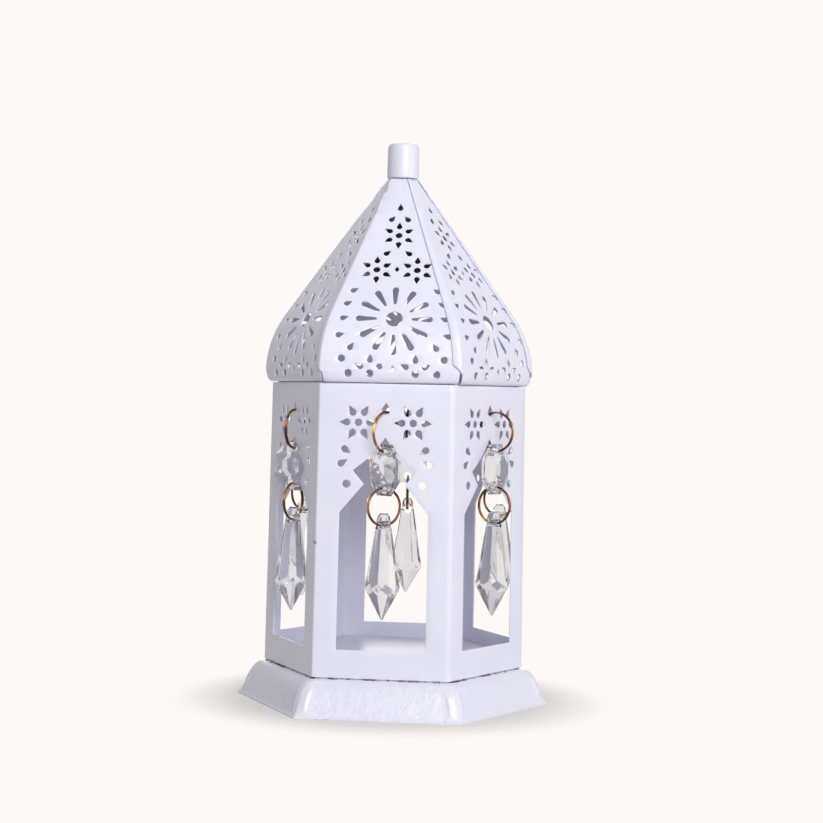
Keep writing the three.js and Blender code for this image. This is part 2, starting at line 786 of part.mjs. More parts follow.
// Glass chains
// A split ring: two turns of wire lie side by side, drawn here as one flat band
function wireRing(radius) {
  const [inner, outer] = [radius - WIRE_THICKNESS / 2, radius + WIRE_THICKNESS / 2];
  const [left, right] = [-WIRE_WIDTH / 2, WIRE_WIDTH / 2];
  const section = [[inner, left], [outer, left], [outer, right], [inner, right]];
  return turned(closedProfile(section), RING_STEPS, Math.PI / RING_STEPS).rotateY(Math.PI / 2);
}

// How far a ring's wire rises between the middle of a glass hole and its mouth
function wireRise(radius, halfLength) {
  return radius - Math.sqrt(radius ** 2 - halfLength ** 2);
}

function glassSlack(radius, halfLength) {
  return GLASS_HOLE - WIRE_THICKNESS / 2 - GLASS_PLAY - wireRise(radius, halfLength);
}

function beadHalfThickness(distance) {
  const table = BEAD_TABLE * Math.cos(Math.PI / 8);
  const share = (distance - table) / (BEAD_HEIGHT / 2 - table);
  return (BEAD_THICKNESS + share * (BEAD_GIRDLE - BEAD_THICKNESS)) / 2;
}

function glassHole(height) {
  const depth = BEAD_THICKNESS + 4;
  const tool = new THREE.CylinderGeometry(GLASS_HOLE, GLASS_HOLE, depth, 8);
  return tool.rotateY(HALF_FACE * 0.75).translate(0, 0, height);
}

// Eight-sided bead with a flat table on each side, hung by a hole at each end
function octagonBead() {
  const apothem = BEAD_HEIGHT / 2;
  const corner = apothem / Math.cos(Math.PI / 8);
  const ringAt = (radius, y) => Array.from({ length: 8 }, (_, i) => {
    const angle = ((i + 0.5) * Math.PI) / 4;
    const across = (radius * BEAD_WIDTH) / BEAD_HEIGHT;
    return new THREE.Vector3(across * Math.cos(angle), y, radius * Math.sin(angle));
  });
  const body = loft([
    ringAt(BEAD_TABLE, -BEAD_THICKNESS / 2),
    ringAt(corner, -BEAD_GIRDLE / 2),
    ringAt(corner, BEAD_GIRDLE / 2),
    ringAt(BEAD_TABLE, BEAD_THICKNESS / 2),
  ]);
  const reach = apothem - BEAD_HOLE_INSET;
  return cut(body, [glassHole(reach), glassHole(-reach)]);
}

// Long pointed drop, its origin at the middle of its hole
function glassDrop() {
  const top = DROP_HOLE_INSET;
  const widest = top - DROP_WIDEST * DROP_LENGTH;
  const tip = top - DROP_LENGTH;
  const sides = 8;
  const ringAt = (radius, height) => Array.from({ length: sides }, (_, i) => {
    const angle = ((i + 0.5) * 2 * Math.PI) / sides;
    return new THREE.Vector3(radius * Math.cos(angle), radius * Math.sin(angle), height);
  });
  const body = loft([
    ringAt(0.3, tip),
    ringAt(DROP_RADIUS, widest),
    ringAt(DROP_HEAD_RADIUS, -DROP_HOLE_INSET),
    ringAt(DROP_NECK_RADIUS, 0),
    ringAt(0.4 * DROP_NECK_RADIUS, top),
  ]);
  return cut(body, [glassHole(0)]);
}

// Meshes and groups
function mesh(name, geometry, look) {
  const material = new THREE.MeshStandardMaterial({ name, ...looks[look] });
  const item = new THREE.Mesh(closed(geometry), material);
  item.name = name;
  return item;
}

function chain({ face, lean, turns }) {
  const pivotHeight = ringHoleBottom + WIRE_THICKNESS / 2 + WALL_PLAY;
  const group = new THREE.Group();
  group.position.set(0, SHEET / 2 - wallApothem(pivotHeight), pivotHeight);
  const out = UPPER_RING_RADIUS * Math.sin(rad(lean));
  const plumb = new THREE.Vector3(0, -out, 0);
  plumb.applyAxisAngle(new THREE.Vector3(0, 0, 1), rad(turns[0]));
  const holeSpacing = BEAD_HEIGHT - 2 * BEAD_HOLE_INSET;
  const rim = beadHalfThickness(holeSpacing / 2 + GLASS_HOLE);
  const upperSlack = glassSlack(UPPER_RING_RADIUS, rim);
  const lowerSlack = glassSlack(LOWER_RING_RADIUS, rim);
  const dropSlack = glassSlack(LOWER_RING_RADIUS, DROP_NECK_RADIUS);
  const upperMiddle = -UPPER_RING_RADIUS * Math.cos(rad(lean));
  const beadMiddle = upperMiddle - UPPER_RING_RADIUS - upperSlack - holeSpacing / 2;
  const lowerMiddle = beadMiddle - holeSpacing / 2 - lowerSlack - LOWER_RING_RADIUS;
  const dropHole = lowerMiddle - LOWER_RING_RADIUS - dropSlack;
  const pieces = [
    [`upper_ring_${face}`, wireRing(UPPER_RING_RADIUS), 'brass', upperMiddle],
    [`octagon_bead_${face}`, octagonBead(), 'glass', beadMiddle],
    [`lower_ring_${face}`, wireRing(LOWER_RING_RADIUS), 'brass', lowerMiddle],
    [`glass_drop_${face}`, glassDrop(), 'glass', dropHole],
  ];
  pieces.forEach(([name, geometry, look, height], i) => {
    const item = mesh(name, geometry, look);
    item.position.set(plumb.x, plumb.y, height);
    item.rotation.z = rad(turns[i]);
    group.add(item);
  });
  return group;
}

function lightUnit() {
  const group = new THREE.Group();
  const apexNut = apexHeight - APEX_WASHER_DROP - APEX_WASHER_THICKNESS - GAP - NUT_HEIGHT;
  const outerNut = housingTop + GAP;
  const innerNut = housingTop - HOUSING_WALL - GAP - NUT_HEIGHT;
  const cellTop = housingTop - CELL_DROP;
  const contactTop = cellTop + GAP + CONTACT_THICKNESS;
  const cellBottom = cellTop - CELL_THICKNESS;
  const contact = (top) => block(CONTACT_LENGTH, CONTACT_WIDTH, CONTACT_THICKNESS, 0, 0, top);
  const boardTop = housingTop - BOARD_DROP;
  group.add(
    mesh('finial_stud', stud(), 'steel'),
    mesh('apex_washer', apexWasher(), 'steel'),
    mesh('apex_nut', nut(apexNut), 'steel'),
    mesh('housing_outer_nut', nut(outerNut), 'steel'),
    mesh('housing_inner_nut', nut(innerNut), 'steel'),
    mesh('led_housing', housing(), 'black'),
    mesh('upper_contact', contact(contactTop - CONTACT_THICKNESS / 2), 'brass'),
    mesh('coin_cell', disc(CELL_RADIUS, cellBottom, CELL_THICKNESS), 'steel'),
    mesh('lower_contact', contact(cellBottom - GAP - CONTACT_THICKNESS / 2), 'brass'),
    mesh('led_board', disc(BOARD_RADIUS, boardTop - BOARD_THICKNESS, BOARD_THICKNESS), 'green'),
    mesh('led_lamp', ledLamp(), 'lens'),
    mesh('switch_knob', switchKnob(), 'red'),
    mesh('battery_cover', batteryCover(), 'black'),
  );
  return group;
}

function body() {
  const group = new THREE.Group();
  group.add(mesh('base_tray', baseTray(), 'white'));
  ['front', 'rear'].forEach((name, i) => {
    const half = mesh(`wall_half_${name}`, wallHalf(), 'white');
    half.rotation.z = i * Math.PI;
    group.add(half);
  });
  ['right', 'left'].forEach((name, i) => {
    const strap = mesh(`seam_strap_${name}`, seamStrap(), 'white');
    strap.rotation.z = i * Math.PI;
    group.add(strap);
  });
  return group;
}

function roof() {
  const group = new THREE.Group();
  group.rotation.z = rad(ROOF_TURN);
  CHAINS.forEach(({ face }, i) => {
    const petal = mesh(`roof_petal_${face}`, roofPetal(), 'white');
    petal.rotation.z = (i * Math.PI) / 3;
    group.add(petal);
  });
  group.add(mesh('roof_collar', roofCollar(), 'white'), mesh('finial', finial(), 'white'));
  group.add(lightUnit());
  return group;
}

const lantern = new THREE.Group();
lantern.name = 'lantern';
lantern.add(body(), roof());
CHAINS.forEach((item, i) => {
  const face = new THREE.Group();
  face.rotation.z = (i * Math.PI) / 3;
  face.add(chain(item));
  lantern.add(face);
});

export default lantern;
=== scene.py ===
import json
import math

import bmesh
import bpy
from mathutils import Matrix, Vector, noise


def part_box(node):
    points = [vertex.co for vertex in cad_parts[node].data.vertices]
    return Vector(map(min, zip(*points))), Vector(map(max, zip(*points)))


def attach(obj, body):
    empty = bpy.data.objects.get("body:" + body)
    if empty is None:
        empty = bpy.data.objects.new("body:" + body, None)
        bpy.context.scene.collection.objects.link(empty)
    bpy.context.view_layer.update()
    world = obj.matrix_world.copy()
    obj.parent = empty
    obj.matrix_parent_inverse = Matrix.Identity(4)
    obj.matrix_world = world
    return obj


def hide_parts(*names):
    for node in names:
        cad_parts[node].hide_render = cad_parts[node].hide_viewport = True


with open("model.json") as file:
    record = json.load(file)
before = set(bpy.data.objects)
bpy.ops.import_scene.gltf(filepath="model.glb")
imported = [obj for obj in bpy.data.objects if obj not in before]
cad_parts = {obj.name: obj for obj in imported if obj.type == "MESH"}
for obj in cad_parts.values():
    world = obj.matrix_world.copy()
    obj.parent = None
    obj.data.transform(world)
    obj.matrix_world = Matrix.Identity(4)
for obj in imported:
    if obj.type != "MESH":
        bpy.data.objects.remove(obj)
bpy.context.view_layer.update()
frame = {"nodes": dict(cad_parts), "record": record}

# Sizes, in millimetres unless a comment says otherwise; MM turns them into metres.
# An apothem is the distance from the upright axis to a flat side of a hexagon. TAN and COS
# are those of half a face's turn. GRID is the step of the cuts that let a flat sheet bend.
MM = 0.001
SIDES = 6
FACES = ("front", "front_right", "rear_right", "rear", "rear_left", "front_left")
HALF_FACE = math.pi / SIDES
FACE_TURN = 2 * HALF_FACE
TAN = math.tan(HALF_FACE)
COS = math.cos(HALF_FACE)
GAP = 0.3
SHEET = 0.5
SHEET_EDGE = 0.09
GRID = 3.2


def low(name, axis=2):
    """The lowest place of a CAD node along an axis."""
    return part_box(name)[0][axis] / MM


def high(name, axis=2):
    """The highest place of a CAD node along an axis."""
    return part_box(name)[1][axis] / MM


WALL_BOTTOM = low("wall_half_front")
WALL_TOP = high("wall_half_front")
WALL_HEIGHT = WALL_TOP - WALL_BOTTOM
WALL_BOTTOM_SIDE = 46.65
WALL_TOP_SIDE = 45.8

ROOF_TURN = math.radians(2.8)
RIM_TUCK = 3.6
RIM_OVERHANG = 1.75
RIM_HEIGHT = WALL_TOP + GAP + RIM_TUCK
RIM_APOTHEM = WALL_TOP_SIDE * COS + RIM_OVERHANG
DOME_RADIUS = 40.0
SLOPE = math.radians(32)
FINIAL_RADIUS = 5.75
ARC_LENGTH = DOME_RADIUS * SLOPE
ARC_END_APOTHEM = RIM_APOTHEM - DOME_RADIUS * (1 - math.cos(SLOPE))
PETAL_LENGTH = ARC_LENGTH + (ARC_END_APOTHEM - FINIAL_RADIUS * COS) / math.sin(SLOPE)


# Helpers for node materials
def set_values(made, **values):
    """Sets a node's sockets and settings by name; in a socket's name _ stands for a space."""
    for key, value in values.items():
        socket = made.inputs.get(key.replace("_", " "))
        if socket is not None:
            socket.default_value = value
        else:
            setattr(made, key, value)
    return made


def node(tree, kind, **values):
    """A new node with its sockets and settings."""
    return set_values(tree.nodes.new(kind), **values)


def object_place(tree):
    """The place on the object, in metres."""
    return node(tree, "ShaderNodeTexCoord").outputs["Object"]


def noise_at(tree, scale, detail=3.0, roughness=0.5):
    """A cloud of values round 0.5, fixed to the object."""
    cloud = node(tree, "ShaderNodeTexNoise", Scale=scale, Detail=detail, Roughness=roughness)
    tree.links.new(object_place(tree), cloud.inputs["Vector"])
    return cloud.outputs["Fac"]


def vertex_layer(tree, name):
    """The values of a mesh's vertex layer."""
    return node(tree, "ShaderNodeAttribute", attribute_name=name).outputs["Fac"]


def math_node(tree, operation, *values):
    """The result of a Math node; each value is a socket or a float."""
    made = node(tree, "ShaderNodeMath", operation=operation)
    for target, value in zip(made.inputs, values):
        if isinstance(value, float):
            target.default_value = value
        else:
            tree.links.new(value, target)
    return made.outputs[0]


def map_range(tree, source, start, end, **values):
    """0 where the source is at start or below, 1 where it is at end or above."""
    made = node(tree, "ShaderNodeMapRange", From_Min=start, From_Max=end, **values)
    tree.links.new(source, made.inputs["Value"])
    return made.outputs["Result"]


def ramp(tree, source, stops):
    """Colours that change with the source, from (place, colour) stops."""
    made = node(tree, "ShaderNodeValToRGB")
    elements = made.color_ramp.elements
    while len(elements) < len(stops):
        elements.new(0.5)
    for element, (place, colour) in zip(elements, stops):
        element.position = place
        element.color = (*colour, 1)
    tree.links.new(source, made.inputs["Fac"])
    return made.outputs["Color"]


def grey(level):
    """A grey, also for a ramp that feeds a number."""
    return (level, level, level)


def mix(tree, factor, source, colour):
    """The source's colour, turned into another one where the factor is 1."""
    made = node(tree, "ShaderNodeMix", data_type="RGBA")
    first, second = [socket for socket in made.inputs if socket.type == "RGBA"]
    tree.links.new(factor, made.inputs["Factor"])
    tree.links.new(source, first)
    second.default_value = (*colour, 1)
    return [socket for socket in made.outputs if socket.type == "RGBA"][0]


def mix_shaders(tree, factor, first, second):
    """The first shader where the factor is 0, the second where it is 1."""
    made = node(tree, "ShaderNodeMixShader")
    for target, value in zip(made.inputs, (factor, first.outputs[0], second.outputs[0])):
        tree.links.new(value, target)
    return made


def bump(tree, shader, source, strength, distance):
    """Small relief on the whole material; distance is in metres."""
    made = node(tree, "ShaderNodeBump", Strength=strength, Distance=distance)
    tree.links.new(source, made.inputs["Height"])
    tree.links.new(made.outputs["Normal"], shader.inputs["Normal"])
    return made


def wear_and_shade_spots(tree, layer, cloud, share, limits):
    """Spots that grow out of a cloud where a vertex layer lifts it over the limits."""
    lifted = math_node(tree, "MULTIPLY_ADD", vertex_layer(tree, layer), share, cloud)
    return map_range(tree, lifted, *limits)


# The materials; a scale of noise is in clouds per metre
PAINT_COLOUR = (0.785, 0.79, 0.93)
PAINT_PALE = (0.82, 0.825, 0.95)
RUST_COLOUR = (0.42, 0.24, 0.14)
# Painted shade: near-black for the dark crack between wall and base, and for the base's foot on its half
# away from the key lamp.
SEAM_SHADE_COLOUR = (0.10, 0.085, 0.10)
# Wire colours: dark copper-brown, and gold patches that stand for wear and also paint the wire's
# highlights.
WIRE_WEAR_AND_HIGHLIGHT_STOPS = ((0.44, (0.11, 0.045, 0.025)), (0.58, (0.26, 0.115, 0.05)), (0.71, (0.80, 0.55, 0.17)))
# Glass colours: a grey tint that paints shade, and a warm edge colour that paints the glass's fire.
GLASS_SHADE_STOPS = ((0.35, (0.79, 0.79, 0.83)), (0.65, (0.86, 0.865, 0.895)))
GLASS_EDGE_FIRE = (0.86, 0.79, 0.77)
STEEL_STOPS = ((0.3, (0.50, 0.51, 0.53)), (0.7, (0.66, 0.67, 0.68)))
BRASS_STOPS = ((0.3, (0.60, 0.36, 0.11)), (0.7, (0.78, 0.52, 0.20)))
LENS_STOPS = ((0.3, (0.95, 0.86, 0.62)), (0.7, (1.0, 0.94, 0.78)))
BLACK_STOPS = ((0.3, grey(0.006)), (0.7, grey(0.012)))
RED_STOPS = ((0.3, (0.26, 0.006, 0.008)), (0.7, (0.33, 0.01, 0.012)))
GREEN_STOPS = ((0.3, (0.012, 0.09, 0.035)), (0.7, (0.02, 0.12, 0.05)))


def paint_nodes(tree, shader):
    """White paint: soft mottling, rust specks on rubbed edges, painted shade in dark dashes along the
    crack between wall and base and along the base's foot, grain and bubbles.
    """
    mottle = noise_at(tree, scale=55, detail=4, roughness=0.6)
    colour = ramp(tree, mottle, [(0.32, PAINT_COLOUR), (0.68, PAINT_PALE)])
    speckle = noise_at(tree, scale=420, detail=4, roughness=0.7)
    specks = wear_and_shade_spots(tree, "rim", speckle, share=0.115, limits=(0.79, 0.83))
    broken = noise_at(tree, scale=330, detail=2, roughness=0.6)
    # Painted shade: dark dashes along the crack between wall and base and along the base's foot.
    shade_dashes = wear_and_shade_spots(tree, "painted_shade", broken, share=0.5, limits=(1.0, 1.04))
    rusty = mix(tree, specks, colour, RUST_COLOUR)
    tree.links.new(mix(tree, shade_dashes, rusty, SEAM_SHADE_COLOUR), shader.inputs["Base Color"])
    set_values(shader, Roughness=0.36, Specular_IOR_Level=0.5, Coat_Weight=0.15, Coat_Roughness=0.18)
    grain = noise_at(tree, scale=900, detail=3, roughness=0.55)
    fine = bump(tree, shader, grain, strength=0.25, distance=0.00012)
    bubbles = node(tree, "ShaderNodeBump", Distance=0.0005)
    tree.links.new(vertex_layer(tree, "thick_paint"), bubbles.inputs["Strength"])
    tree.links.new(noise_at(tree, scale=400, detail=3, roughness=0.5), bubbles.inputs["Height"])
    tree.links.new(bubbles.outputs["Normal"], fine.inputs["Normal"])


def wire_nodes(tree, shader):
    """Dark copper-brown wire with gold patches in its colour, which stand both for wear to gold and for
    painted highlights.
    """
    wear = noise_at(tree, scale=160, detail=2, roughness=0.5)
    tree.links.new(ramp(tree, wear, WIRE_WEAR_AND_HIGHLIGHT_STOPS), shader.inputs["Base Color"])
    rough = ramp(tree, noise_at(tree, scale=700), [(0.3, grey(0.22)), (0.7, grey(0.38))])
    tree.links.new(rough, shader.inputs["Roughness"])
    set_values(shader, Metallic=1.0)
    bump(tree, shader, noise_at(tree, scale=1800), strength=0.2, distance=0.00005)


def glass_nodes(tree, shader):
    """Clear cut glass with a faint uneven polish; its grey tint is painted shade, as of dim surroundings
    seen through it, and the warmer colour where it is seen edge on is painted fire of split light.
    """
    tint = ramp(tree, noise_at(tree, scale=120), GLASS_SHADE_STOPS)
    edge = node(tree, "ShaderNodeLayerWeight", Blend=0.35)
    tree.links.new(mix(tree, edge.outputs["Facing"], tint, GLASS_EDGE_FIRE), shader.inputs["Base Color"])
    rough = ramp(tree, noise_at(tree, scale=300), [(0.4, grey(0.03)), (0.8, grey(0.10))])
    tree.links.new(rough, shader.inputs["Roughness"])
    set_values(shader, Transmission_Weight=0.95, IOR=1.45)


def steel_nodes(tree, shader):
    """Plated steel with faint streaks."""
    streak = noise_at(tree, scale=500, detail=4, roughness=0.6)
    tree.links.new(ramp(tree, streak, STEEL_STOPS), shader.inputs["Base Color"])
    rough = ramp(tree, streak, [(0.3, grey(0.25)), (0.7, grey(0.42))])
    tree.links.new(rough, shader.inputs["Roughness"])
    set_values(shader, Metallic=1.0)


def brass_nodes(tree, shader):
    """Spring brass with faint streaks."""
    streak = noise_at(tree, scale=350, detail=4, roughness=0.6)
    tree.links.new(ramp(tree, streak, BRASS_STOPS), shader.inputs["Base Color"])
    set_values(shader, Metallic=1.0, Roughness=0.3)


def lens_nodes(tree, shader):
    """The lamp's warm clear resin."""
    tint = ramp(tree, noise_at(tree, scale=200), LENS_STOPS)
    tree.links.new(tint, shader.inputs["Base Color"])
    set_values(shader, Transmission_Weight=0.85, Roughness=0.08, IOR=1.5)


def moulded(stops, roughness, grain):
    """Moulded plastic in two shades, with a grain of the given scale."""
    def nodes(tree, shader):
        cloud = noise_at(tree, scale=260, detail=3, roughness=0.5)
        tree.links.new(ramp(tree, cloud, stops), shader.inputs["Base Color"])
        set_values(shader, Roughness=roughness)
        texture = noise_at(tree, scale=grain, detail=2, roughness=0.5)
        bump(tree, shader, texture, strength=0.3, distance=0.00008)
    return nodes


def material(name, build):
    """A node material, built on its own shader."""
    made = bpy.data.materials.new(name)
    made.use_nodes = True
    build(made.node_tree, made.node_tree.nodes["Principled BSDF"])
    return made


# One material for each slot of the record
MATERIALS = {
    "white_paint": material("satin_white_paint", paint_nodes),
    "ring_wire": material("antique_ring_wire", wire_nodes),
    "cut_glass": material("clear_cut_glass", glass_nodes),
    "plated_steel": material("plated_steel", steel_nodes),
    "contact_brass": material("contact_brass", brass_nodes),
    "black_plastic": material("black_moulding", moulded(BLACK_STOPS, roughness=0.5, grain=2500)),
    "red_plastic": material("red_moulding", moulded(RED_STOPS, roughness=0.3, grain=900)),
    "green_board": material("coated_board", moulded(GREEN_STOPS, roughness=0.35, grain=700)),
    "clear_lens": material("resin_lens", lens_nodes),
}


# Turning outlines and meshes into pieces; edges up to a smooth angle, in degrees, look round
SHEET_SMOOTH = 32
SOLID_SMOOTH = 40
WIRE_SMOOTH = 50
FLAT_FACETS = 0
ACROSS = (1, 0, 0)
UP = (0, 1, 0)
WELD = 0.004
CUT_TOLERANCE = 0.0001
RIM_DEPTH = 0.01


def finish_piece(name, mesh, body, slot, replaced, smooth_angle=SHEET_SMOOTH):
    """Links a mesh, shades it, and says what it rides on and stands for."""
    piece = bpy.data.objects.new(name, mesh)
    bpy.context.scene.collection.objects.link(piece)
    mesh.materials.clear()
    mesh.materials.append(MATERIALS[slot])
    if smooth_angle == FLAT_FACETS:
        mesh.shade_flat()
    else:
        mesh.shade_smooth()
        mesh.set_sharp_from_angle(angle=math.radians(smooth_angle))
    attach(piece, body)
    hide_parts(*replaced)


def mesh_from(name, bm):
    """A mesh whose faces point out; the bmesh is freed."""
    bmesh.ops.recalc_face_normals(bm, faces=bm.faces)
    mesh = bpy.data.meshes.new(name)
    bm.to_mesh(mesh)
    bm.free()
    return mesh


def cut_sheet(name, outline, holes):
    """A flat sheet with holes and small rounded edges, from z -SHEET to 0."""
    curve = bpy.data.curves.new(name, "CURVE")
    curve.dimensions = "2D"
    curve.fill_mode = "BOTH"
    curve.extrude = SHEET / 2 - SHEET_EDGE
    curve.bevel_depth = SHEET_EDGE
    curve.bevel_resolution = 1
    curve.offset = -SHEET_EDGE
    for points in (outline, *holes):
        spline = curve.splines.new("POLY")
        spline.points.add(len(points) - 1)
        for target, (x, y) in zip(spline.points, points):
            target.co = (x, y, 0, 1)
        spline.use_cyclic_u = True
    holder = bpy.data.objects.new(name, curve)
    bpy.context.scene.collection.objects.link(holder)
    graph = bpy.context.evaluated_depsgraph_get()
    flat = bpy.data.meshes.new_from_object(holder.evaluated_get(graph))
    bm = bmesh.new()
    bm.from_mesh(flat)
    bpy.data.objects.remove(holder)
    bpy.data.curves.remove(curve)
    bpy.data.meshes.remove(flat)
    bmesh.ops.remove_doubles(bm, verts=bm.verts, dist=WELD)
    bmesh.ops.translate(bm, verts=bm.verts, vec=(0, 0, -SHEET / 2))
    return bm


def cut_line(bm, geometry, point, normal):
    """New edges where a plane crosses a flat sheet."""
    bmesh.ops.bisect_plane(bm, geom=geometry, plane_co=point, plane_no=normal, dist=CUT_TOLERANCE)


def slice_sheet(bm, places, direction):
    """Cuts a flat sheet along straight lines square to a direction, so that it can bend there."""
    for place in places:
        cut_line(bm, bm.verts[:] + bm.edges[:] + bm.faces[:], Vector(direction) * place, direction)


def even_places(start, end):
    """Places from start to end, about GRID apart, without the two ends."""
    count = round((end - start) / GRID)
    return [start + (end - start) * i / count for i in range(1, count)]


def mark_rims(bm):
    """A vertex layer that is 1 on the small rounded edges, for wear in the paint."""
    layer = bm.verts.layers.float.new("rim")
    for vert in bm.verts:
        vert[layer] = 1.0 if -SHEET + RIM_DEPTH < vert.co.z < -RIM_DEPTH else 0.0
    return layer


def ripple(u, v, part, settings):
    """Unevenness of hand-bent sheet, from (layer, size, amount, shift from part to part)."""
    layer, size, amount, shift = settings
    return amount * noise.noise(Vector((u + shift * part, v, layer)) / size)


def skin(bm, rings):
    """Faces between closed rings of as many points each."""
    count = len(rings[0])
    for first, second in zip(rings, rings[1:]):
        for i in range(count):
            j = (i + 1) % count
            bm.faces.new((first[i], first[j], second[j], second[i]))


# Outlines of the holes, pointing along +Y
TEARDROP_STEPS = 10
HOLE_STEPS = 14
RAY_FOOT_STEPS = 4
RAY_END_STEPS = 8


def arc(radius, middle, start, sweep, steps):
    """Points of a circle about (0, middle), from a start angle through a sweep, in radians."""
    angles = [start + sweep * i / steps for i in range(steps + 1)]
    return [(radius * math.cos(a), middle + radius * math.sin(a)) for a in angles]


def teardrop(length, width):
    """A round foot that runs out to a point."""
    radius = width / 2
    foot = -length / 2 + radius
    meet = math.acos(radius / (length / 2 - foot))
    round_foot = arc(radius, foot, math.pi / 2 + meet, 2 * math.pi - 2 * meet, TEARDROP_STEPS)
    return round_foot + [(0, length / 2)]


def round_hole(diameter, steps=HOLE_STEPS):
    """A circle round the middle."""
    return arc(diameter / 2, 0, 0, 2 * math.pi, steps)[:-1]


def ray_hole(length, inner, outer):
    """A long ray with round ends, wider at its outer end."""
    foot = arc(inner / 2, -length / 2 + inner / 2, math.pi, math.pi, RAY_FOOT_STEPS)
    return foot + arc(outer / 2, length / 2 - outer / 2, 0, math.pi, RAY_END_STEPS)


def placed(points, u, v, pointing=90.0):
    """The outline moved to (u, v) and turned to point at an angle in degrees."""
    turn = math.radians(pointing - 90)
    c, s = math.cos(turn), math.sin(turn)
    return [(u + x * c - y * s, v + x * s + y * c) for x, y in points]


def both_sides(points, u, v, pointing=90.0):
    """The outline and its mirror image in u."""
    return [placed(points, u, v, pointing), placed(points, -u, v, 180 - pointing)]


def star(points, u, v, radius, first, count=6):
    """Copies of the outline round (u, v), pointing outwards, the first at an angle in degrees."""
    holes = []
    for i in range(count):
        angle = first + 360 / count * i
        x = u + radius * math.cos(math.radians(angle))
        y = v + radius * math.sin(math.radians(angle))
        holes.append(placed(points, x, y, angle))
    return holes


# Walls: the window and its pattern, with u from the middle of a face and v as the height
SILL = WALL_BOTTOM + 9.65
JAMB_TOP = SILL + 46.7
NOTCH = JAMB_TOP + 9.75
CUSP = NOTCH + 4.65
ARCH_APEX = CUSP + 11.3
WINDOW_HALF = 15.15
NOTCH_HALF = 7.05
CUSP_HALF = 10.9
ARCH_STEPS = 8
ARCH_NARROWING = 0.6
ARCH_SAG = 0.5
STAR_OFFSET = 9.4
STAR_HEIGHT = ARCH_APEX + 5.0
STAR_RADIUS = 4.65
STAR_LEAF = (3.9, 2.4)
STAR_DOT = 2.55
RING_HOLE = (4.0, 2.9)
RING_HOLE_HEIGHT = ARCH_APEX + 7.8 + RING_HOLE[0] / 2
SIDE_DROP = (3.8, 2.4)
SIDE_DROPS = ((CUSP_HALF + 2.4, CUSP + 6.8, 215), (CUSP_HALF + 3.6, CUSP + 2.6, 145))
SIDE_DOT = 2.8
SIDE_DOT_OFFSET = CUSP_HALF + 2.1

# The three faces of a wall half in one flat strip, and the folds between them by their place
STRIP_SIDE = 46.2
FOLD_RADII = {-0.5: 0.9, 0.5: 2.6}
FOLD_CUTS = 5
HALF_SEAM = 0.15
WALL_RIPPLE = (0, 22, 0.10, 90)

# Painted shade at the foot, where the crack above the base looks dark; the paint is gone in rubbed
# places (along the strip, height, reach)
FOOT_BAND = 0.12
FOOT_CUT = WALL_BOTTOM + 0.22
WORN_PLACES = (
    (-0.5 * STRIP_SIDE, 56.0, 2.2),
    (-1.2 * STRIP_SIDE, 21.5, 1.4),
    (-0.8 * STRIP_SIDE, 21.5, 1.2),
)
WORN_STRETCH = 5
WORN_MORE = 1.7


def window_outline(middle):
    """The arched window: straight jambs, a notch, a cusp and a pointed, slightly curved arch."""
    arch = []
    for i in range(1, ARCH_STEPS):
        share = i / ARCH_STEPS
        curve = math.sin(math.pi * share)
        width = CUSP_HALF * (1 - share) - ARCH_NARROWING * curve
        arch.append((width, CUSP + (ARCH_APEX - CUSP) * share - ARCH_SAG * curve))
    right = [(WINDOW_HALF, SILL), (WINDOW_HALF, JAMB_TOP), (NOTCH_HALF, NOTCH), (CUSP_HALF, CUSP), *arch]
    left = [(-u, v) for u, v in reversed(right)]
    return [(middle + u, v) for u, v in (*right, (0, ARCH_APEX), *left)]


def wall_face_holes():
    """The stars, the ring's hole, the drops and the dots of one face."""
    holes = []
    for offset in (-STAR_OFFSET, STAR_OFFSET):
        holes.append(placed(round_hole(STAR_DOT), offset, STAR_HEIGHT))
        holes += star(teardrop(*STAR_LEAF), offset, STAR_HEIGHT, STAR_RADIUS, first=0)
    holes.append(placed(teardrop(*RING_HOLE), 0, RING_HOLE_HEIGHT))
    for u, v, pointing in SIDE_DROPS:
        holes += both_sides(teardrop(*SIDE_DROP), u, v, pointing)
    holes += both_sides(round_hole(SIDE_DOT), SIDE_DOT_OFFSET, NOTCH)
    return holes


def wall_side(height):
    """The length of a face's side at a height; the walls taper upwards."""
    share = (height - WALL_BOTTOM) / WALL_HEIGHT
    return WALL_BOTTOM_SIDE + share * (WALL_TOP_SIDE - WALL_BOTTOM_SIDE)


def wall_point(strip_u, height, depth):
    """Where a point of the flat strip lies in its face, and the face's turn."""
    face = max(-1, min(1, round(strip_u / STRIP_SIDE)))
    u = (strip_u - face * STRIP_SIDE) * (wall_side(height) / STRIP_SIDE)
    half = wall_side(height) / 2
    apothem = half / TAN
    side = 1 if u > 0 else -1
    past = abs(u) - half
    radius = FOLD_RADII.get(face + 0.5 * side, 0)
    reach = radius * TAN
    if radius and past > -reach:
        angle = side * HALF_FACE * (past + reach) / reach
        x = side * (half - reach) + (radius + depth) * math.sin(angle)
        out = apothem - radius + (radius + depth) * math.cos(angle)
    else:
        x, out = u, apothem + depth
    return Vector((x, -out, height)), face * FACE_TURN


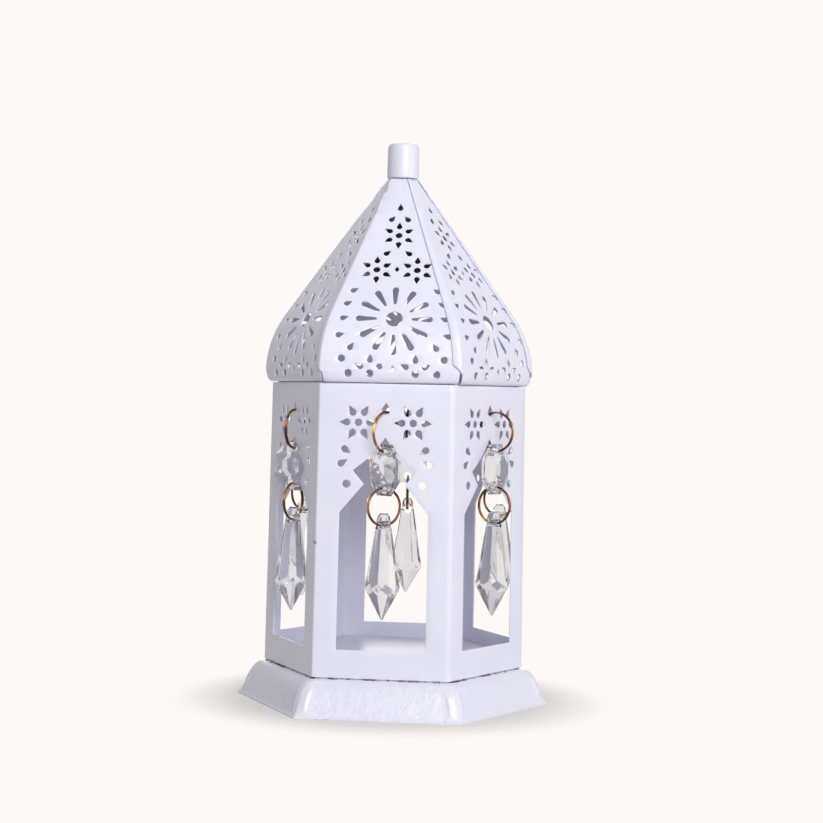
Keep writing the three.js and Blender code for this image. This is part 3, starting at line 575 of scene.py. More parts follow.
def wall_half(name, body_turn):
    """Three faces of the wall, cut flat and folded."""
    end = 1.5 * STRIP_SIDE - HALF_SEAM / COS
    outline = [(-end, WALL_BOTTOM), (end, WALL_BOTTOM), (end, WALL_TOP), (-end, WALL_TOP)]
    holes = []
    for middle in (-STRIP_SIDE, 0, STRIP_SIDE):
        holes.append(window_outline(middle))
        holes += [[(middle + u, v) for u, v in hole] for hole in wall_face_holes()]
    bm = cut_sheet(name, outline, holes)
    rim = mark_rims(bm)
    painted_shade = bm.verts.layers.float.new("painted_shade")
    folds = [corner * STRIP_SIDE + radius * TAN * step / FOLD_CUTS
             for corner, radius in FOLD_RADII.items() for step in range(-FOLD_CUTS, FOLD_CUTS + 1)]
    slice_sheet(bm, folds, ACROSS)
    slice_sheet(bm, even_places(-end, end), ACROSS)
    slice_sheet(bm, [FOOT_CUT, *even_places(WALL_BOTTOM, WALL_TOP)], UP)
    for vert in bm.verts:
        strip_u, height, depth = vert.co
        # Painted shade along the wall's foot, where the crack above the base looks dark.
        vert[painted_shade] = 1.0 if height < WALL_BOTTOM + FOOT_BAND else 0.0
        for u, v, reach in WORN_PLACES:
            if body_turn == 0 and Vector((strip_u - u, (height - v) / WORN_STRETCH)).length < reach:
                vert[rim] += WORN_MORE
        place, turn = wall_point(strip_u, height, depth)
        place.y += ripple(strip_u, height, body_turn, WALL_RIPPLE)
        vert.co = (Matrix.Rotation(turn + body_turn, 4, "Z") @ place) * MM
    return mesh_from(name, bm)


for half, half_turn in (("front", 0.0), ("rear", math.pi)):
    wall_name = f"pierced_wall_{half}"
    finish_piece(wall_name, wall_half(wall_name, half_turn), "lantern_body", "white_paint",
                 [f"wall_half_{half}"])


# Roof petals, cut flat with u from the middle and lengths up from the widest line
LIP_WIDTH = 1.6
TUCK_LENGTH = 4.3
PETAL_BOTTOM = -(TUCK_LENGTH + LIP_WIDTH)
LAP = (SHEET + GAP) / math.sin(FACE_TURN)
FLANGE_WIDTH = 3.7
FLANGE_MORE = 0.15
FLANGE_BEND = 0.9
FLANGE_REACH = FLANGE_BEND * TAN
FLANGE_CUTS = 5
FLANGE_CUT_ROOM = 12

# The petal's left edge: an even lip, a step out at the foot, then the slanting flange
LIP_PLAY = 0.17
LIP_END = -0.4
LIP_STEPS = 6
FOOT_LENGTH = 0.2
FOOT_SHARE = 0.8
FLANGE_START = 3.2
RIGHT_PLAY = 0.1
EDGE_STEPS = 24

# Cuts where the petal curves
TUCK_CUTS = 7
ARC_CUTS = 12
BEND_LENGTHS = (0, ARC_LENGTH / 3, 2 * ARC_LENGTH / 3, ARC_LENGTH, PETAL_LENGTH)
CUT_MARGIN = 0.01
PETAL_RIPPLE = (3, 18, 0.08, 70)

# The pattern: places are (u, length) or (u, length, angle in degrees)
LEAF = (3.1, 2.0)
DOT = 2.45
PETAL_STARS = ((0, 54.3), (-7.0, 39.4), (7.0, 39.4))
PETAL_STAR_RADIUS = 4.25
PETAL_STAR_FIRST = 30
PETAL_DROPS = (
    (2.6, 61.6, 128), (3.6, 46.7, 140), (14.1, 30.7, 150), (16.0, 25.2, 155),
    (17.0, 19.2, 160), (18.2, 12.8, 165), (14.3, 8.7, 125),
)
PETAL_DOTS = ((17.4, 4.5), (15.0, -0.4))
FLOWER_OFFSET = 7.7
FLOWER_DOT = -0.4
FLOWER_LEAVES = ((0, 4.6, 90), (-3.7, 2.1, 155), (3.7, 2.1, 25))
TOP_LEAF = 66.7
FOOT_DROP = (2.4, 1.6)
FOOT_DROP_PLACE = 1.2
DIAMOND = ((0, 1.25), (-0.9, 0), (0, -1.25), (0.9, 0))
DIAMOND_PLACE = 39.7
SUN_PLACE = 19.0
SUN_HOLE = 5.8
SUN_HOLE_STEPS = 24
SUN_RAYS = 12
SUN_RAY = (7.2, 1.0, 2.2)
SUN_RAY_RADIUS = 9.5


def petal_profile(length):
    """Apothem, height and lean of the sheet at a length along it above its widest line."""
    if length >= 0:
        angle = min(length / DOME_RADIUS, SLOPE)
        rest = length - angle * DOME_RADIUS
        apothem = RIM_APOTHEM - DOME_RADIUS * (1 - math.cos(angle)) - rest * math.sin(angle)
        height = RIM_HEIGHT + DOME_RADIUS * math.sin(angle) + rest * math.cos(angle)
        return apothem, height, angle
    turn = min(-length / TUCK_LENGTH, 1) * math.pi / 2
    rest = max(-length - TUCK_LENGTH, 0)
    apothem = RIM_APOTHEM - RIM_OVERHANG * (1 - math.cos(turn)) - rest
    height = RIM_HEIGHT - RIM_TUCK * math.sin(turn)
    return apothem, height, -turn


def half_side(length):
    """Half a face of the roof's outside, from middle to corner, at a length along it."""
    return petal_profile(length)[0] * TAN


def flange_width(length):
    """How far the flange reaches past the corner; it narrows towards the top."""
    apothem = petal_profile(length)[0]
    return LAP + FLANGE_MORE + (FLANGE_WIDTH - LAP) * apothem / RIM_APOTHEM


def petal_point(u, length, depth):
    """Where a point of the flat petal lies once it is curved and its flange is bent."""
    apothem, height, lean = petal_profile(length)
    past = -u - apothem * TAN
    out = Vector((0, -math.cos(lean), math.sin(lean)))
    if past <= LAP - FLANGE_REACH:
        return Vector((u, -apothem, height)) + out * depth
    angle = min((past - LAP + FLANGE_REACH) / (2 * FLANGE_REACH), 1) * FACE_TURN
    rest = max(past - LAP - FLANGE_REACH, 0)
    centre = Vector((-apothem * TAN - LAP + FLANGE_REACH, -apothem + FLANGE_BEND, height))
    spin = Matrix.Rotation(-angle, 4, "Z")
    arm = spin @ Vector((0, -FLANGE_BEND, 0))
    along = spin @ Vector((-1, 0, 0))
    return centre + arm + along * rest + (spin @ out) * depth


def petal_outline():
    """The flat petal: a plain right edge, and on the left the lip, the foot and the flange."""
    right, left = [], []
    for i in range(EDGE_STEPS + 1):
        length = PETAL_BOTTOM + (PETAL_LENGTH - PETAL_BOTTOM) * i / EDGE_STEPS
        right.append((half_side(length) - LAP - RIGHT_PLAY, length))
    for i in range(LIP_STEPS + 1):
        length = PETAL_BOTTOM + (LIP_END - PETAL_BOTTOM) * i / LIP_STEPS
        left.append((LIP_PLAY - half_side(length), length))
    left.append((-half_side(FOOT_LENGTH) - LAP * FOOT_SHARE, FOOT_LENGTH))
    for i in range(EDGE_STEPS + 1):
        length = FLANGE_START + (PETAL_LENGTH - FLANGE_START) * i / EDGE_STEPS
        left.append((-half_side(length) - flange_width(length), length))
    return right + left[::-1]


def petal_holes():
    """The petal's stars, drops, dots, half flowers at the foot, and the sun."""
    leaf = teardrop(*LEAF)
    dot = round_hole(DOT)
    holes = []
    for u, v in PETAL_STARS:
        holes.append(placed(dot, u, v))
        holes += star(leaf, u, v, PETAL_STAR_RADIUS, PETAL_STAR_FIRST)
    for u, v, pointing in PETAL_DROPS:
        holes += both_sides(leaf, u, v, pointing)
    for u, v in PETAL_DOTS:
        holes += both_sides(dot, u, v)
    for middle in (-FLOWER_OFFSET, FLOWER_OFFSET):
        holes.append(placed(dot, middle, FLOWER_DOT))
        holes += [placed(leaf, middle + u, v, pointing) for u, v, pointing in FLOWER_LEAVES]
    holes.append(placed(leaf, 0, TOP_LEAF))
    holes.append(placed(teardrop(*FOOT_DROP), 0, FOOT_DROP_PLACE))
    holes.append(placed(DIAMOND, 0, DIAMOND_PLACE))
    holes.append(placed(round_hole(SUN_HOLE, SUN_HOLE_STEPS), 0, SUN_PLACE))
    holes += star(ray_hole(*SUN_RAY), 0, SUN_PLACE, SUN_RAY_RADIUS, first=0, count=SUN_RAYS)
    return holes


def slant_cuts(bm):
    """Cuts along the petal's left fold, whose place changes with the height."""
    for i in range(FLANGE_CUTS + 1):
        past = LAP - FLANGE_REACH + 2 * FLANGE_REACH * i / FLANGE_CUTS
        for start, end in zip(BEND_LENGTHS, BEND_LENGTHS[1:]):
            first = Vector((-half_side(start) - past, start, 0))
            second = Vector((-half_side(end) - past, end, 0))
            along = (second - first).normalized()
            normal = Vector((along.y, -along.x, 0))
            faces = []
            for face in bm.faces:
                middle = face.calc_center_median()
                in_height = start - CUT_MARGIN <= middle.y <= end + CUT_MARGIN
                if in_height and middle.x < first.x + FLANGE_CUT_ROOM:
                    faces.append(face)
            edges = dict.fromkeys(edge for face in faces for edge in face.edges)
            verts = dict.fromkeys(vert for face in faces for vert in face.verts)
            cut_line(bm, [*verts, *edges, *faces], first, normal)


def roof_petal(name, index):
    """A petal, cut flat, curved and put in its place on the turned roof."""
    bm = cut_sheet(name, petal_outline(), petal_holes())
    mark_rims(bm)
    cuts = [PETAL_BOTTOM + LIP_WIDTH + TUCK_LENGTH * i / TUCK_CUTS for i in range(TUCK_CUTS + 1)]
    cuts += [ARC_LENGTH * i / ARC_CUTS for i in range(1, ARC_CUTS + 1)]
    slice_sheet(bm, cuts + even_places(ARC_LENGTH, PETAL_LENGTH), UP)
    slice_sheet(bm, even_places(-RIM_APOTHEM * TAN, RIM_APOTHEM * TAN), ACROSS)
    slant_cuts(bm)
    turn = Matrix.Rotation(ROOF_TURN + index * FACE_TURN, 4, "Z")
    for vert in bm.verts:
        u, length, depth = vert.co
        place = petal_point(u, length, depth)
        place.y += ripple(u, length, index, PETAL_RIPPLE)
        vert.co = (turn @ place) * MM
    return mesh_from(name, bm)


for face_index, face_name in enumerate(FACES):
    petal_name = f"pierced_petal_{face_name}"
    finish_piece(petal_name, roof_petal(petal_name, face_index), "roof", "white_paint",
                 [f"roof_petal_{face_name}"])


# Base tray; a level is a height on its outside, and a radius goes to a corner
BASE_RADIUS = high("base_tray", 0)
FLOOR_TOP = high("base_tray")
FLOOR_PLAY = 0.1
FLOOR_RADIUS = WALL_BOTTOM_SIDE - (SHEET + GAP) / COS - FLOOR_PLAY
LEDGE_TOP = WALL_BOTTOM - GAP

# Up the outside and in over the floor: radius, rounding of the corner, level
BASE_PROFILE = (
    (BASE_RADIUS, 0.6, 0.0), (BASE_RADIUS, 0.6, 0.35), (55.75, 0.8, 0.75), (55.2, 1.0, 1.35),
    (54.75, 1.2, 2.1), (54.45, 1.4, 2.9), (53.95, 1.6, 4.4), (53.3, 1.8, 5.9), (52.65, 2.1, 7.3),
    (51.95, 2.4, 8.8), (51.3, 2.6, 9.8), (50.4, 2.8, 10.8), (49.3, 3.0, 11.7), (48.3, 3.1, 12.2),
    (47.4, 3.1, 12.42), (46.9, 3.1, 12.48), (FLOOR_RADIUS + 0.4, 3.0, LEDGE_TOP),
    (FLOOR_RADIUS + 0.1, 2.9, LEDGE_TOP + 0.25), (FLOOR_RADIUS, 2.8, LEDGE_TOP + 0.7),
    (FLOOR_RADIUS, 2.8, FLOOR_TOP - 1.2), (FLOOR_RADIUS - 0.3, 2.7, FLOOR_TOP - 0.5),
    (FLOOR_RADIUS - 1.1, 2.6, FLOOR_TOP - 0.1), (FLOOR_RADIUS - 2.2, 2.5, FLOOR_TOP),
    (30.0, 2.0, FLOOR_TOP), (12.0, 1.0, FLOOR_TOP),
)

# Points along half a face, as distances from its end, the first where the rounding stops
FACE_MARGINS = (1.2, 1.7, 2.1, 2.5, 2.9, 3.4, 4.2, *(5.5 + 1.5 * i for i in range(11)))
MARGIN_ROOM = 22.0
CORNER_STEPS = 6

# The sheet's inner side: the lip's points aren't lower, and the steep skirt's are only a little
LIP_POINTS = 2
SKIRT_TOP = 8
SKIRT_DOWN = 0.35
FLOOR_EDGE = 0.2
CORNER_LOSS = 0.3

# The skirt's relief. A margin is the distance from a face's end; a hill has (out, middle, width)
RIDGE_BOTTOM, RIDGE_TOP = 2.0, 10.5
RIDGE_RISE, RIDGE_FALL = 1.5, 2.5
CORNER_RIDGE = (0.40, 2.4, 0.7)
CORNER_HOLLOW = (0.06, 4.6, 1.2)
LIP_RIDGE_BOTTOM, LIP_RIDGE_TOP, LIP_RIDGE_MARGIN = 1.2, 3.4, 1.5
LIP_RIDGE = (0.30, 2.3, 0.5)
PLAIN_FOOT = 0.5
PLAIN_LEDGE = LEDGE_TOP - 0.6
LOW_LEVEL = 2.5
MOST_OUT_LOW, MOST_OUT = 0.40, 0.70
FINE_RIPPLE = (9, 4, 0.15, 60)
FINE_STRETCH = 2
WIDE_RIPPLE = (2, 17, 0.14, 60)

# Paint layers of the base; the ledge's and the under-lip's values are painted shade
SHOULDER_TOP = 12.6
THICK_PAINT, THIN_PAINT = 0.7, 0.1
LIP_HEIGHT, LIP_WEAR = 1.5, 1.3
LEDGE_BOTTOM, LEDGE_SHADE = 12.35, 1.0
LEDGE_APOTHEM = WALL_BOTTOM_SIDE * COS - 1
UNDER_LIP, UNDER_LIP_SHADE, UNDER_LIP_SLANT = 0.2, 1.04, 0.3


def hill(place, out, middle, width):
    """A rise that falls off smoothly to both sides of its middle."""
    return out * math.exp(-(((place - middle) / width) ** 2))


def skirt_bulge(margin, u, level, face):
    """How far the skirt stands out: ridges beside the corners and above the lip, unevenness."""
    out = ripple(u, level * FINE_STRETCH, face, FINE_RIPPLE) + ripple(u, level, face, WIDE_RIPPLE)
    if RIDGE_BOTTOM < level < RIDGE_TOP:
        fade = min((level - RIDGE_BOTTOM) / RIDGE_RISE, (RIDGE_TOP - level) / RIDGE_FALL, 1)
        out += fade * (hill(margin, *CORNER_RIDGE) - hill(margin, *CORNER_HOLLOW))
    if LIP_RIDGE_BOTTOM < level < LIP_RIDGE_TOP and margin > LIP_RIDGE_MARGIN:
        out += hill(level, *LIP_RIDGE)
    if level < PLAIN_FOOT or level > PLAIN_LEDGE:
        out = 0
    return min(out, MOST_OUT_LOW if level < LOW_LEVEL else MOST_OUT)


def base_ring(radius, fillet, height, level):
    """Points round the base: along each face, then round its right corner."""
    points = []
    half = radius / 2
    apothem = radius * COS
    reach = fillet * TAN
    scale = min(1.0, (half - reach) / MARGIN_ROOM)
    margins = [reach + (margin - FACE_MARGINS[0]) * scale for margin in FACE_MARGINS]
    places = [-half + m for m in margins] + [0] + [half - m for m in reversed(margins)]
    for face in range(SIDES):
        turn = Matrix.Rotation(face * FACE_TURN, 4, "Z")
        for u in places:
            out = skirt_bulge(half - abs(u), u, level, face)
            points.append(turn @ Vector((u, -apothem - out, height)))
        out = skirt_bulge(0, half, level, face)
        for step in range(1, CORNER_STEPS):
            angle = FACE_TURN * step / CORNER_STEPS
            x = half - reach + (fillet + out) * math.sin(angle)
            y = apothem - fillet + (fillet + out) * math.cos(angle)
            points.append(turn @ Vector((x, -y, height)))
    return points


def base_rings():
    """Rings of points from the middle of the floor out and down, then back inside the sheet."""
    outside, inside = [], []
    for i, (radius, fillet, level) in enumerate(BASE_PROFILE):
        down = 0 if i < LIP_POINTS else SHEET * (SKIRT_DOWN if level < SKIRT_TOP else 1)
        inset = SHEET / COS if level < FLOOR_TOP - FLOOR_EDGE else FLOOR_EDGE
        inner_fillet = max(fillet - CORNER_LOSS, CORNER_LOSS)
        outside.append(base_ring(radius, fillet, level, level))
        inside.append(base_ring(radius - inset, inner_fillet, max(level - down, 0), level))
    return outside[::-1] + inside


def mark_base_paint(bm):
    """Vertex layers for the base's paint: thick up to the ledge, worn at the lip, painted shade on the
    ledge under the wall's crack and along the foot on the half away from the key lamp.
    """
    rim = bm.verts.layers.float.new("rim")
    painted_shade = bm.verts.layers.float.new("painted_shade")
    thick = bm.verts.layers.float.new("thick_paint")
    for vert in bm.verts:
        x, y, height = vert.co / MM
        vert[thick] = THICK_PAINT if height < SHOULDER_TOP else THIN_PAINT
        vert[rim] = LIP_WEAR if height < LIP_HEIGHT else 0.0
        # Painted shade: the crack under the wall, and the foot on the half away from the key lamp.
        if LEDGE_BOTTOM < height < SHOULDER_TOP and math.hypot(x, y) > LEDGE_APOTHEM:
            vert[painted_shade] = LEDGE_SHADE
        elif height < UNDER_LIP and x < y * UNDER_LIP_SLANT:
            vert[painted_shade] = UNDER_LIP_SHADE


def base_tray(name):
    """The stamped tray: lip, skirt, shoulder, ledge and raised floor in one sheet."""
    bm = bmesh.new()
    rings = [[bm.verts.new(point * MM) for point in ring] for ring in base_rings()]
    skin(bm, rings)
    bm.faces.new(rings[0])
    bm.faces.new(rings[-1][::-1])
    mark_base_paint(bm)
    return mesh_from(name, bm)


finish_piece("stamped_base", base_tray("stamped_base"), "lantern_body", "white_paint", ["base_tray"],
             SOLID_SMOOTH)


# Finial: a cylinder with soft edges and a blind bore from below
TURNED_STEPS = 64
FINIAL_CROWN = 1.9
FINIAL_EDGE = (0.25, 0.45)
FINIAL_SHOULDER = 2.2
FINIAL_FOOT = 0.6
FINIAL_BORE = 1.8
FINIAL_BORE_DEPTH = 8.9
FINIAL_ROUNDING = 1.1
ROUNDING_STEPS = 4
ROUNDING_SHARE = 0.45
WOBBLE = 0.1
WOBBLE_ROUND = 4 / 3
WOBBLE_HEIGHT = 9


def turned(name, profile):
    """A slightly uneven turned piece, from (radius, height) points that start and end at radius 0."""
    bm = bmesh.new()
    first, last = [bm.verts.new((0, 0, profile[end][1] * MM)) for end in (0, -1)]
    rings = []
    for radius, height in profile[1:-1]:
        ring = []
        for i in range(TURNED_STEPS):
            angle = 2 * math.pi * i / TURNED_STEPS
            x, y = math.cos(angle), math.sin(angle)
            uneven = noise.noise((x * WOBBLE_ROUND, y * WOBBLE_ROUND, height / WOBBLE_HEIGHT))
            reach = radius + WOBBLE * uneven
            ring.append(bm.verts.new((reach * x * MM, reach * y * MM, height * MM)))
        rings.append(ring)
    skin(bm, rings)
    for i in range(TURNED_STEPS):
        j = (i + 1) % TURNED_STEPS
        bm.faces.new((first, rings[0][i], rings[0][j]))
        bm.faces.new((rings[-1][i], rings[-1][j], last))
    return mesh_from(name, bm)


def rounded(points, radius):
    """The same outline with its inner corners rounded off."""
    result = [points[0]]
    for before, here, after in zip(points, points[1:], points[2:]):
        corner = Vector(here)
        first, second = Vector(before) - corner, Vector(after) - corner
        reach = min(radius, first.length * ROUNDING_SHARE, second.length * ROUNDING_SHARE)
        start, end = corner + first.normalized() * reach, corner + second.normalized() * reach
        for i in range(ROUNDING_STEPS + 1):
            t = i / ROUNDING_STEPS
            result.append(tuple(start * (1 - t) ** 2 + corner * 2 * t * (1 - t) + end * t ** 2))
    result.append(points[-1])
    return result


def finial(name):
    """The cap between its CAD node's lowest and highest places."""
    bottom, top = low("finial"), high("finial")
    inset, drop = FINIAL_EDGE
    profile = [
        (0, top), (FINIAL_RADIUS - FINIAL_CROWN, top), (FINIAL_RADIUS - inset, top - drop),
        (FINIAL_RADIUS, top - FINIAL_SHOULDER), (FINIAL_RADIUS, bottom + FINIAL_FOOT),
        (FINIAL_RADIUS - inset, bottom), (FINIAL_BORE, bottom),
        (FINIAL_BORE, bottom + FINIAL_BORE_DEPTH), (0, bottom + FINIAL_BORE_DEPTH),
    ]
    return turned(name, rounded(profile, FINIAL_ROUNDING))


finish_piece("finial_cap", finial("finial_cap"), "roof", "white_paint", ["finial"], SOLID_SMOOTH)


# Chains: split rings of wire, and cut glass
UPPER_RING_RADIUS = 6.75
LOWER_RING_RADIUS = 6.35
WIRE = 0.40
WIRE_PITCH = 0.52
WIRE_TURNS = 2.12
WIRE_STEPS = 150
WIRE_SIDES = 8
WIRE_HIGH, WIRE_WIDE = 0.92, 0.62
WIRE_END = 0.8
WIRE_CROSSING = 1.35

# Glass is given by rings of corners: (share of the bead's size, place from the middle, shift)
# for the bead, and (radius, height, shift) for the drop
GLASS_CORNERS = 8
GLASS_HOLE = 1.40
HOLE_SIDES = 20
DRILL_LENGTH = 30
FLAT_WITHIN = math.radians(0.5)
BEAD_WIDTH = 14.3
BEAD_HEIGHT = 17.4
BEAD_THICKNESS = 6.5
BEAD_GIRDLE = 1.2
BEAD_HOLE = BEAD_HEIGHT / 2 - 2.7
BEAD_RINGS = (
    (0.47, BEAD_THICKNESS / 2, 0.5), (0.80, BEAD_THICKNESS * 0.27, 0.0),
    (1 / math.cos(math.pi / GLASS_CORNERS), BEAD_GIRDLE / 2, 0.5),
)
DROP_LENGTH = 36.4
DROP_TOP = 4.2
DROP_RINGS = (
    (1.15, DROP_TOP, 0.5), (2.15, DROP_TOP - 1.4, 0.5), (2.35, 0.2, 0.5), (2.75, -4.2, 0.5),
    (5.98, DROP_TOP - 0.69 * DROP_LENGTH, 0.5), (5.80, DROP_TOP - 0.73 * DROP_LENGTH, 0.0),
    (0.25, DROP_TOP - DROP_LENGTH, 0.5),
)

# Turns of each chain's pieces, from the top down, in degrees from facing straight out
CHAIN_TURNS = {
    "front": (-30, -41, -52, -57), "front_right": (0, -2, 0, 5), "rear_right": (4, 2, -2, -8),
    "rear": (-3, 1, 5, 10), "rear_left": (3, -2, -6, -1), "front_left": (40, 45, 38, 40),
}
# Where each ring's wire starts, in radians: on the front chain, and further on for each next one
UPPER_WIRE_START, UPPER_WIRE_NEXT = 2.2, 1
LOWER_WIRE_START, LOWER_WIRE_NEXT = 0.6, 2


def split_ring(name, radius, start):
    """Two turns of round wire side by side, a little flattened, with both ends showing."""
    bm = bmesh.new()
    rings = []
    for i in range(WIRE_STEPS + 1):
        share = i / WIRE_STEPS
        angle = start + 2 * math.pi * WIRE_TURNS * share
        side = max(-1.0, min(1.0, (share - 0.5) * 2 * WIRE_TURNS * WIRE_CROSSING))
        shift = 0.5 * WIRE_PITCH * math.sin(side * math.pi / 2)
        centre = Vector((shift, radius * math.cos(angle), radius * math.sin(angle)))
        out = Vector((0, math.cos(angle), math.sin(angle)))
        thick = WIRE if 0 < i < WIRE_STEPS else WIRE * WIRE_END
        ring = []
        for k in range(WIRE_SIDES):
            a = 2 * math.pi * k / WIRE_SIDES
            arm = out * math.cos(a) * WIRE_HIGH + Vector(ACROSS) * math.sin(a) * WIRE_WIDE
            ring.append(bm.verts.new((centre + thick * arm) * MM))
        rings.append(ring)
    skin(bm, rings)
    bm.faces.new(rings[0][::-1])
    bm.faces.new(rings[-1])
    return mesh_from(name, bm)


def octagon(half_width, half_height, shift):
    """The corners of an octagon; a shift of 0.5 puts flat sides on the axes."""
    angles = [(i + shift) * 2 * math.pi / GLASS_CORNERS for i in range(GLASS_CORNERS)]
    return [(half_width * math.cos(a), half_height * math.sin(a)) for a in angles]


def drilled(name, mesh, heights):
    """The same glass in metres, with round holes through it along Y at the given heights."""
    glass = bpy.data.objects.new(name, mesh)
    bpy.context.scene.collection.objects.link(glass)
    tools = []
    for height in heights:
        bm = bmesh.new()
        bmesh.ops.create_cone(bm, cap_ends=True, segments=HOLE_SIDES, radius1=GLASS_HOLE,
                              radius2=GLASS_HOLE, depth=DRILL_LENGTH)
        bmesh.ops.rotate(bm, verts=bm.verts, matrix=Matrix.Rotation(math.pi / 2, 3, "X"))
        bmesh.ops.translate(bm, verts=bm.verts, vec=(0, 0, height))
        tool = bpy.data.objects.new("drill", mesh_from("drill", bm))
        bpy.context.scene.collection.objects.link(tool)
        cutter = glass.modifiers.new("hole", "BOOLEAN")
        cutter.object = tool
        cutter.operation = "DIFFERENCE"
        cutter.solver = "EXACT"
        tools.append(tool)
    graph = bpy.context.evaluated_depsgraph_get()
    result = bpy.data.meshes.new_from_object(glass.evaluated_get(graph))
    bpy.data.objects.remove(glass)
    bpy.data.meshes.remove(mesh)
    result.name = name
    for tool in tools:
        bpy.data.objects.remove(tool)
    for vert in result.vertices:
        vert.co *= MM
    return result


def cut_glass(name, corners, holes):
    """Glass with flat facets between its corner points."""
    bm = bmesh.new()
    for corner in corners:
        bm.verts.new(corner)
    bmesh.ops.convex_hull(bm, input=bm.verts[:])
    bmesh.ops.dissolve_limit(bm, angle_limit=FLAT_WITHIN, verts=bm.verts[:], edges=bm.edges[:])
    return drilled(name, mesh_from(name, bm), holes)


def octagon_bead(name):
    """A two-hole octagon: a flat table, star and kite facets and a thin girdle on each side."""
    corners = []
    for side in (-1, 1):
        for share, depth, shift in BEAD_RINGS:
            ring = octagon(share * BEAD_WIDTH / 2, share * BEAD_HEIGHT / 2, shift)
            corners += [(x, side * depth, z) for x, z in ring]
    return cut_glass(name, corners, [BEAD_HOLE, -BEAD_HOLE])


def glass_drop(name):
    """A long icicle: a small faceted head, eight long facets and a pointed foot."""
    corners = []
    for radius, height, shift in DROP_RINGS:
        corners += [(x, y, height) for x, y in octagon(radius, radius, shift)]
    return cut_glass(name, corners, [0])


def chain(face, index):
    """The ring, bead, ring and drop before one window, each in the place of its CAD node."""
    upper_start = UPPER_WIRE_START + UPPER_WIRE_NEXT * index
    lower_start = LOWER_WIRE_START + LOWER_WIRE_NEXT * index
    pieces = (
        ("upper_ring", f"split_ring_upper_{face}", split_ring, (UPPER_RING_RADIUS, upper_start)),
        ("octagon_bead", f"cut_bead_{face}", octagon_bead, ()),
        ("lower_ring", f"split_ring_lower_{face}", split_ring, (LOWER_RING_RADIUS, lower_start)),
        ("glass_drop", f"cut_drop_{face}", glass_drop, ()),
    )
    for (kind, name, make, sizes), turn in zip(pieces, CHAIN_TURNS[face]):
        cad_node = f"{kind}_{face}"
        lowest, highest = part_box(cad_node)
        centre = (Vector(lowest) + Vector(highest)) / 2
        if make is glass_drop:
            centre.z = highest[2] - DROP_TOP * MM
        spin = Matrix.Rotation(index * FACE_TURN + math.radians(turn), 4, "Z")
        mesh = make(name, *sizes)
        mesh.transform(Matrix.Translation(centre) @ spin)
        slot, smooth = ("ring_wire", WIRE_SMOOTH) if make is split_ring else ("cut_glass", FLAT_FACETS)
        finish_piece(name, mesh, cad_node, slot, [cad_node], smooth)


for face_index, face_name in enumerate(FACES):
    chain(face_name, face_index)


# CAD nodes, with the finishes of the record
SLOT_OF = {row["node"]: row["material_slot"] for row in frame["record"]["subparts"]}
for node_name, part in frame["nodes"].items():
    part.data.materials.clear()
    part.data.materials.append(MATERIALS[SLOT_OF[node_name]])


# Camera, fitted to the photograph; its place is in millimetres before the yaw about Z
CAMERA_YAW = math.radians(5.344)
CAMERA_PITCH = math.radians(0.492)
CAMERA_ROLL = math.radians(1.293)
CAMERA_PLACE = (4.95, -654.27, 109.19)
FOCAL_PIXELS = 1814.56
PHOTO_WIDTH = 823
SENSOR = 36.0
CLIP_START = 0.01


def photo_camera():
    """The photograph's view."""
    data = bpy.data.cameras.new("camera")
    data.sensor_width = SENSOR
    data.sensor_fit = "HORIZONTAL"
    data.lens = FOCAL_PIXELS / PHOTO_WIDTH * SENSOR
    data.clip_start = CLIP_START
    made = bpy.data.objects.new("camera", data)
    bpy.context.scene.collection.objects.link(made)
    aim = Matrix.Rotation(math.pi / 2 - CAMERA_PITCH, 4, "X")
    roll = Matrix.Rotation(CAMERA_ROLL, 4, "Z")
    place = Matrix.Translation(Vector(CAMERA_PLACE) * MM)
    made.matrix_world = Matrix.Rotation(CAMERA_YAW, 4, "Z") @ place @ aim @ roll
    return made


bpy.context.scene.camera = photo_camera()


# Studio: floor, world and lamps, with lengths in metres and lamp powers in watts
BACKGROUND = (0.985, 0.948, 0.922, 1)
STUDIO_RADIUS = 1.2
STUDIO_STEPS = 96
FLOOR_COLOUR = (0.70, 0.68, 0.665, 1)
FLOOR_GLOW = 0.30
FADE_START = 0.046
FADE_END = 0.082
WORLD_COLOUR = (0.93, 0.95, 1.0, 1)
WORLD_LEVEL = 0.19
LAMP_AIM = Vector((0, 0, 0.1))
# Name, place, size, power and colour
LAMPS = (
    ("key", (0.45, -1.08, 0.60), 0.8, 11.9, (1.0, 0.99, 0.98)),
    ("side", (1.1, -0.35, 0.16), 0.5, 1.4, (1.0, 0.99, 1.0)),
    ("top", (0.0, 0.0, 1.2), 0.8, 1.4, (0.97, 0.98, 1.0)),
    ("back", (-0.15, 1.15, 0.36), 0.8, 3.0, (0.98, 0.98, 1.0)),
)


def shown_rays(tree):
    """1 for the rays that see the background itself: camera, glossy and transmission rays."""
    rays = node(tree, "ShaderNodeLightPath").outputs
    direct = math_node(tree, "MAXIMUM", rays["Is Camera Ray"], rays["Is Glossy Ray"])
    return math_node(tree, "MAXIMUM", direct, rays["Is Transmission Ray"])


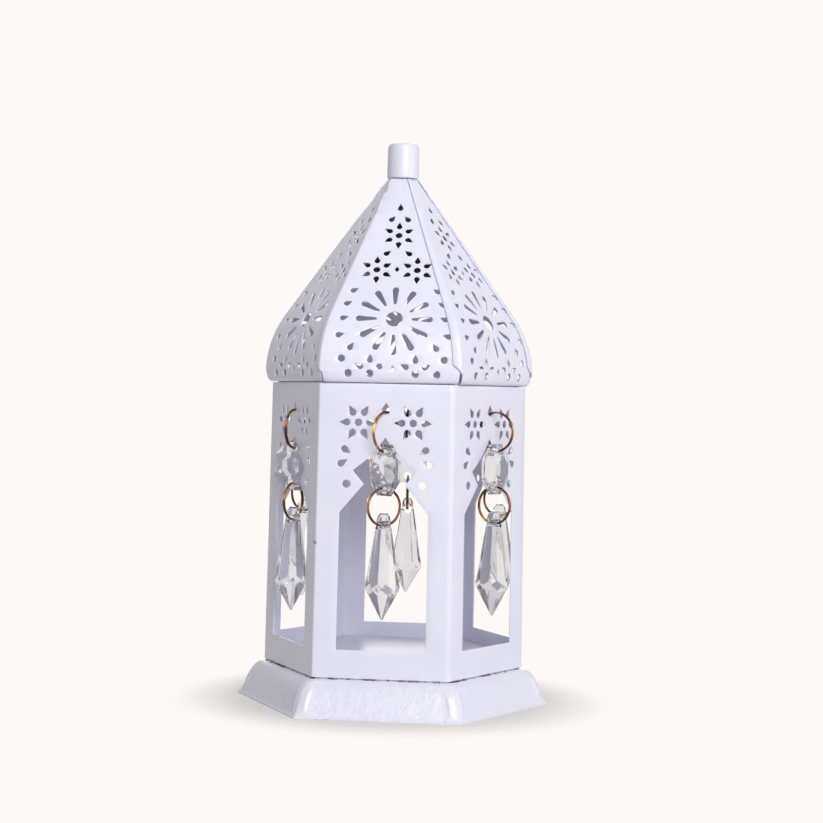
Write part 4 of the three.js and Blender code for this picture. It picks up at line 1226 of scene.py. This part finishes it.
def floor_material():
    """Pale floor that keeps the object's shadow and fades into the background away from it."""
    made = bpy.data.materials.new("pale_floor")
    made.use_nodes = True
    tree = made.node_tree
    tree.nodes.clear()
    diffuse = node(tree, "ShaderNodeBsdfDiffuse", Color=FLOOR_COLOUR)
    glow = node(tree, "ShaderNodeEmission", Color=BACKGROUND, Strength=1.0)
    lit = mix_shaders(tree, math_node(tree, "MULTIPLY", shown_rays(tree), FLOOR_GLOW), diffuse, glow)
    distance = node(tree, "ShaderNodeVectorMath", operation="LENGTH")
    tree.links.new(object_place(tree), distance.inputs[0])
    fade = map_range(tree, distance.outputs["Value"], FADE_START, FADE_END,
                     interpolation_type="SMOOTHSTEP")
    clear = node(tree, "ShaderNodeBsdfTransparent")
    whole = mix_shaders(tree, math_node(tree, "MULTIPLY", fade, shown_rays(tree)), lit, clear)
    out = node(tree, "ShaderNodeOutputMaterial")
    tree.links.new(whole.outputs[0], out.inputs["Surface"])
    return made


def studio_floor():
    """A round floor under the object."""
    bm = bmesh.new()
    bmesh.ops.create_circle(bm, cap_ends=True, segments=STUDIO_STEPS, radius=STUDIO_RADIUS)
    mesh = mesh_from("floor", bm)
    mesh.materials.append(floor_material())
    floor = bpy.data.objects.new("floor", mesh)
    bpy.context.scene.collection.objects.link(floor)


def studio_world():
    """Soft light from all round; the background's own colour where it is seen."""
    world = bpy.data.worlds.new("studio")
    bpy.context.scene.world = world
    world.use_nodes = True
    tree = world.node_tree
    tree.nodes.clear()
    ambient = node(tree, "ShaderNodeBackground", Color=WORLD_COLOUR, Strength=WORLD_LEVEL)
    shown = node(tree, "ShaderNodeBackground", Color=BACKGROUND, Strength=1.0)
    choice = mix_shaders(tree, shown_rays(tree), ambient, shown)
    out = node(tree, "ShaderNodeOutputWorld")
    tree.links.new(choice.outputs[0], out.inputs["Surface"])


def studio_lamp(name, place, size, power, colour):
    """A round area lamp aimed at the object; glass shows the background in its place."""
    data = bpy.data.lights.new(name, "AREA")
    data.shape = "DISK"
    data.size = size
    data.energy = power
    data.color = colour
    lamp = bpy.data.objects.new(name, data)
    lamp.location = place
    lamp.rotation_euler = (LAMP_AIM - Vector(place)).to_track_quat("-Z", "Y").to_euler()
    lamp.visible_transmission = False
    bpy.context.scene.collection.objects.link(lamp)


studio_floor()
studio_world()
for lamp_values in LAMPS:
    studio_lamp(*lamp_values)

bpy.context.scene.view_settings.view_transform = "Standard"
